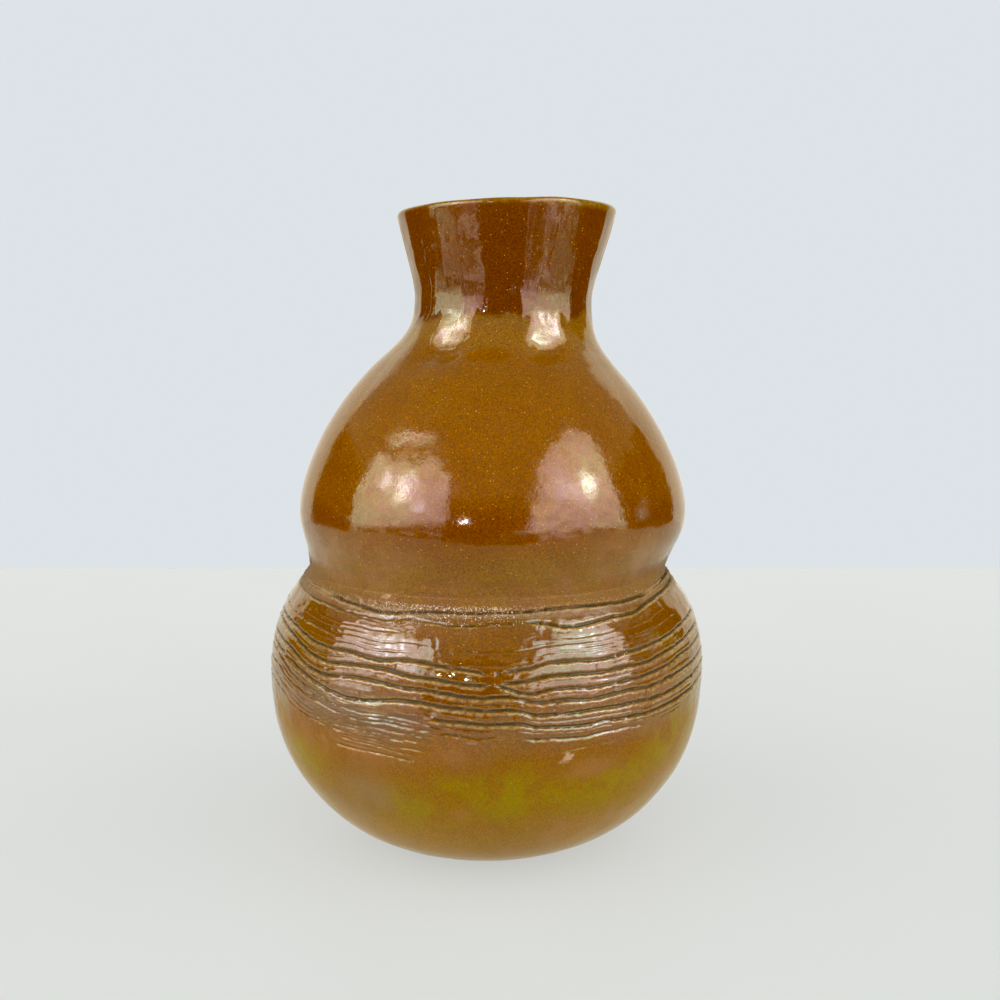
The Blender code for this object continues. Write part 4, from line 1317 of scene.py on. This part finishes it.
# ---------------------------------------------------------------- light
def studio():
    """Two tall soft windows at the front left and right, a pale wall behind, dimness
    in front, and a plain pale backdrop where the camera sees past the object."""
    world = bpy.data.worlds.new("studio")
    bpy.context.scene.world = world
    world.use_nodes = True
    tree = world.node_tree
    tree.nodes.clear()

    class W(Graph):
        def __init__(self):
            self.tree, self.x = tree, 0

    g = W()
    way = g.node("ShaderNodeTexCoord").outputs["Generated"]
    part = g.node("ShaderNodeSeparateXYZ")
    g.put(way, part.inputs[0])
    x, y, z = part.outputs[0], part.outputs[1], part.outputs[2]
    azimuth = g.math("MULTIPLY", g.math("ARCTAN2", x, g.math("MULTIPLY", y, -1.0)), 180 / math.pi)
    elevation = g.math("MULTIPLY", g.math("ARCSINE", z), 180 / math.pi)

    def window(a0, a1, e0, e1, soft=1.5):
        f = g.math("MULTIPLY", g.step(azimuth, a0 - soft, a0 + soft), g.step(azimuth, a1 + soft, a1 - soft))
        f = g.math("MULTIPLY", f, g.step(elevation, e0 - soft, e0 + soft))
        return g.math("MULTIPLY", f, g.step(elevation, e1 + soft, e1 - soft))

    def glow(a, e, wide, tall):
        da = g.math("DIVIDE", g.math("SUBTRACT", azimuth, a), wide)
        de = g.math("DIVIDE", g.math("SUBTRACT", elevation, e), tall)
        r2 = g.math("ADD", g.math("MULTIPLY", da, da), g.math("MULTIPLY", de, de))
        return g.math("EXPONENT", g.math("MULTIPLY", r2, -1.0))

    straight = azimuth, elevation
    # Nothing around has a ruled outline: curtains, leaves and furniture.
    stray = g.node("ShaderNodeTexNoise")
    stray.inputs["Scale"].default_value = 9.0
    stray.inputs["Detail"].default_value = 4.0
    stray.inputs["Roughness"].default_value = 0.60
    g.put(way, stray.inputs["Vector"])
    parts = g.node("ShaderNodeSeparateColor")
    g.put(stray.outputs["Color"], parts.inputs[0])
    azimuth = g.math("ADD", azimuth, g.math("MULTIPLY", g.math("SUBTRACT", parts.outputs[0], 0.5), 17.0))
    elevation = g.math("ADD", elevation, g.math("MULTIPLY", g.math("SUBTRACT", parts.outputs[1], 0.5), 17.0))
    patchy = g.step(parts.outputs[2], 0.36, 0.62, 0.72, 1.22)

    # What the glaze mirrors: a pale wall behind, two windows, a dim room with a lighter
    # ceiling, and something pale below the windows.
    wall = g.math("MULTIPLY", g.step(g.math("ABSOLUTE", azimuth), 130.0, 131.6), g.step(elevation, 46.0, 33.0))
    mirrored = g.math("ADD", g.math("MULTIPLY", wall, 0.93), 0.020)
    ceiling = g.step(elevation, 23.5, 25.5)
    mirrored = g.math("ADD", mirrored, g.math("MULTIPLY", ceiling, 0.34))
    slant = g.math("MULTIPLY", g.math("ADD", azimuth, 80.5), 0.235)
    under = g.math("SUBTRACT", elevation, slant)  # the left window's top runs aslant
    corner = g.math("MAXIMUM", g.math("DIVIDE", g.math("ADD", azimuth, 47.0), 15.0), 0.0)
    round_off = g.math("MULTIPLY", g.math("MULTIPLY", corner, corner), 9.0)
    left = g.math("MULTIPLY", g.step(azimuth, -88.4, -86.8), g.step(azimuth, -24.4, -26.2))
    sill = g.math("SUBTRACT", elevation, g.math("MULTIPLY", g.math("ADD", azimuth, 86.0), 0.12))
    pane = g.math("MULTIPLY", g.step(sill, -10.0, 1.0), g.step(g.math("ADD", under, round_off), 35.8, 34.8))
    mirrored = g.math("ADD", mirrored, g.math("MULTIPLY", g.math("MULTIPLY", g.math("MULTIPLY", left, pane), patchy), 3.7))
    # A slit of light above the left window, thin at both ends.
    bend = g.math("DIVIDE", g.math("ADD", straight[0], 68.0), 23.0)
    thick = g.math("SUBTRACT", 1.9, g.math("MULTIPLY", g.math("MULTIPLY", bend, bend), 1.9))
    middle = g.math("SUBTRACT", straight[1], g.math("MULTIPLY", g.math("ADD", straight[0], 68.0), 0.27))
    slit = g.math("SUBTRACT", thick, g.math("ABSOLUTE", g.math("SUBTRACT", middle, 45.0)))
    mirrored = g.math("ADD", mirrored, g.math("MULTIPLY", g.step(slit, -0.1, 0.5), 5.2))
    edge = g.math("SUBTRACT", azimuth, g.math("MULTIPLY", elevation, 0.42))
    round_top = g.math("DIVIDE", g.math("SUBTRACT", azimuth, 60.0), 24.0)
    round_top = g.math("SUBTRACT", 50.0, g.math("MULTIPLY", g.math("MULTIPLY", round_top, round_top), 9.0))
    top = g.math("SUBTRACT", elevation, round_top)
    right = g.math("MULTIPLY", g.step(edge, 15.0, 16.8), g.step(azimuth, 83.0, 81.0))
    pane = g.math("MULTIPLY", g.step(elevation, -11.0, 1.0), g.step(top, 0.8, -0.8))
    mirrored = g.math("ADD", mirrored, g.math("MULTIPLY", g.math("MULTIPLY", g.math("MULTIPLY", right, pane), patchy), 3.6))
    low = g.math("MULTIPLY", g.step(elevation, -32.0, -26.0), g.step(elevation, 0.0, -10.0))
    low = g.math("MULTIPLY", low, g.step(parts.outputs[0], 0.46, 0.54, 0.10, 1.30))
    low = g.math("MULTIPLY", low, g.step(parts.outputs[2], 0.42, 0.50, 0.45, 1.10))
    mirrored = g.math("ADD", mirrored, g.math("MULTIPLY", g.math("MULTIPLY", window(-86, -27, -50, 10, 1.2), low), 1.5))
    mirrored = g.math("ADD", mirrored, g.math("MULTIPLY", g.math("MULTIPLY", window(27, 84, -50, 10, 1.2), low), 2.1))
    spots = 0.0
    for spot, strength in (
        ((-70, 27, 4.0, 4.0), 9.0),
        ((-56, 27, 4.0, 5.5), 16.0),
        ((-44, 17, 3.5, 3.5), 7.0),
        ((62, 26, 4.5, 4.0), 26.0),
        ((46, 27, 8.0, 6.0), 4.0),
        ((-58, 22, 13, 9), 1.8),
        ((60, 22, 13, 9), 2.2),
        ((98, 3, 4.5, 5.0), 1.6),
    ):
        spots = g.math("ADD", spots, g.math("MULTIPLY", glow(*spot), strength))
    # The brightest spots of the sky are the bluest, and the wall is a little warm.
    colour = g.node("ShaderNodeCombineXYZ")
    for socket, share, blue, warm in zip(colour.inputs, (0.98, 1.0, 1.0), (0.86, 1.0, 1.20), (0.09, 0.0, -0.08)):
        total = g.math("ADD", g.math("MULTIPLY", mirrored, share), g.math("MULTIPLY", spots, blue))
        g.put(g.math("ADD", total, g.math("MULTIPLY", wall, warm)), socket)

    # What lights the matt part of the glaze and the floor: soft daylight, mostly from
    # above the viewer.
    front = g.math("ADD", g.math("MULTIPLY", z, 0.80), g.math("MULTIPLY", y, -0.60))
    lobe = g.math("POWER", g.math("MAXIMUM", front, 0.0), 2.0)
    soft = g.math("ADD", g.math("MULTIPLY", lobe, 0.40), 0.15)
    for side in (-0.84, 0.84):
        facing = g.math("ADD", g.math("MULTIPLY", z, 0.24), g.math("MULTIPLY", y, -0.50))
        facing = g.math("ADD", facing, g.math("MULTIPLY", x, side))
        facing = g.math("POWER", g.math("MAXIMUM", facing, 0.0), 2.0)
        soft = g.math("ADD", soft, g.math("MULTIPLY", facing, 1.20))
        flank = g.math("ADD", g.math("MULTIPLY", z, 0.20), g.math("MULTIPLY", y, -0.10))
        flank = g.math("ADD", flank, g.math("MULTIPLY", x, math.copysign(0.97, side)))
        flank = g.math("POWER", g.math("MAXIMUM", flank, 0.0), 4.0)
        soft = g.math("ADD", soft, g.math("MULTIPLY", flank, 1.30))

    path = g.node("ShaderNodeLightPath")
    mirror = g.node("ShaderNodeBackground")
    g.put(colour.outputs[0], mirror.inputs["Color"])
    mirror.inputs["Strength"].default_value = 1.0
    daylight = g.node("ShaderNodeBackground")
    g.put((1.0, 1.0, 1.0, 1.0), daylight.inputs["Color"])
    g.put(soft, daylight.inputs["Strength"])
    backdrop = g.node("ShaderNodeBackground")
    g.put((0.728, 0.770, 0.802, 1.0), backdrop.inputs["Color"])
    backdrop.inputs["Strength"].default_value = 1.0
    lit = g.node("ShaderNodeMixShader")
    g.put(path.outputs["Is Diffuse Ray"], lit.inputs[0])
    g.tree.links.new(mirror.outputs[0], lit.inputs[1])
    g.tree.links.new(daylight.outputs[0], lit.inputs[2])
    both = g.node("ShaderNodeMixShader")
    g.put(path.outputs["Is Camera Ray"], both.inputs[0])
    g.tree.links.new(lit.outputs[0], both.inputs[1])
    g.tree.links.new(backdrop.outputs[0], both.inputs[2])
    out = g.node("ShaderNodeOutputWorld")
    g.tree.links.new(both.outputs[0], out.inputs["Surface"])
    # Each kind of ray sees its own part, so the world is not sampled as one lamp.
    world.cycles.sampling_method = "NONE"


studio()

lamp = bpy.data.lights.new("small_lamp", "AREA")
lamp.shape = "DISK"
lamp.size = 0.022
lamp.energy = 1.2
lamp_object = bpy.data.objects.new("small_lamp", lamp)
bpy.context.scene.collection.objects.link(lamp_object)
_a, _e, _far = math.radians(-15), math.radians(7), 1.6
lamp_object.location = (
    _far * math.sin(_a) * math.cos(_e),
    -_far * math.cos(_a) * math.cos(_e),
    0.13 + _far * math.sin(_e),
)
lamp_object.rotation_euler = (math.pi / 2 - _e, 0.0, _a)
lamp_object.visible_camera = False

# ---------------------------------------------------------------- camera and colour
view = bpy.data.cameras.new("photo_view")
view.sensor_fit = "HORIZONTAL"
view.sensor_width = 36.0
view.lens = 40.15
view.clip_start = 0.01
view.clip_end = 50.0
camera = bpy.data.objects.new("photo_view", view)
camera.location = (0.0052, -0.4446, 0.1893)
camera.rotation_euler = (math.radians(82.70), 0.0, 0.0)
bpy.context.scene.collection.objects.link(camera)
bpy.context.scene.camera = camera
bpy.context.scene.view_settings.view_transform = "Standard"
bpy.context.scene.view_settings.look = "None"

# The picture's colours are a little stronger than life.
scene = bpy.context.scene
scene.use_nodes = True
scene.node_tree.nodes.clear()
layers = scene.node_tree.nodes.new("CompositorNodeRLayers")
richer = scene.node_tree.nodes.new("CompositorNodeHueSat")
richer.inputs["Saturation"].default_value = 1.09
done = scene.node_tree.nodes.new("CompositorNodeComposite")
scene.node_tree.links.new(layers.outputs["Image"], richer.inputs["Image"])
scene.node_tree.links.new(richer.outputs["Image"], done.inputs["Image"])
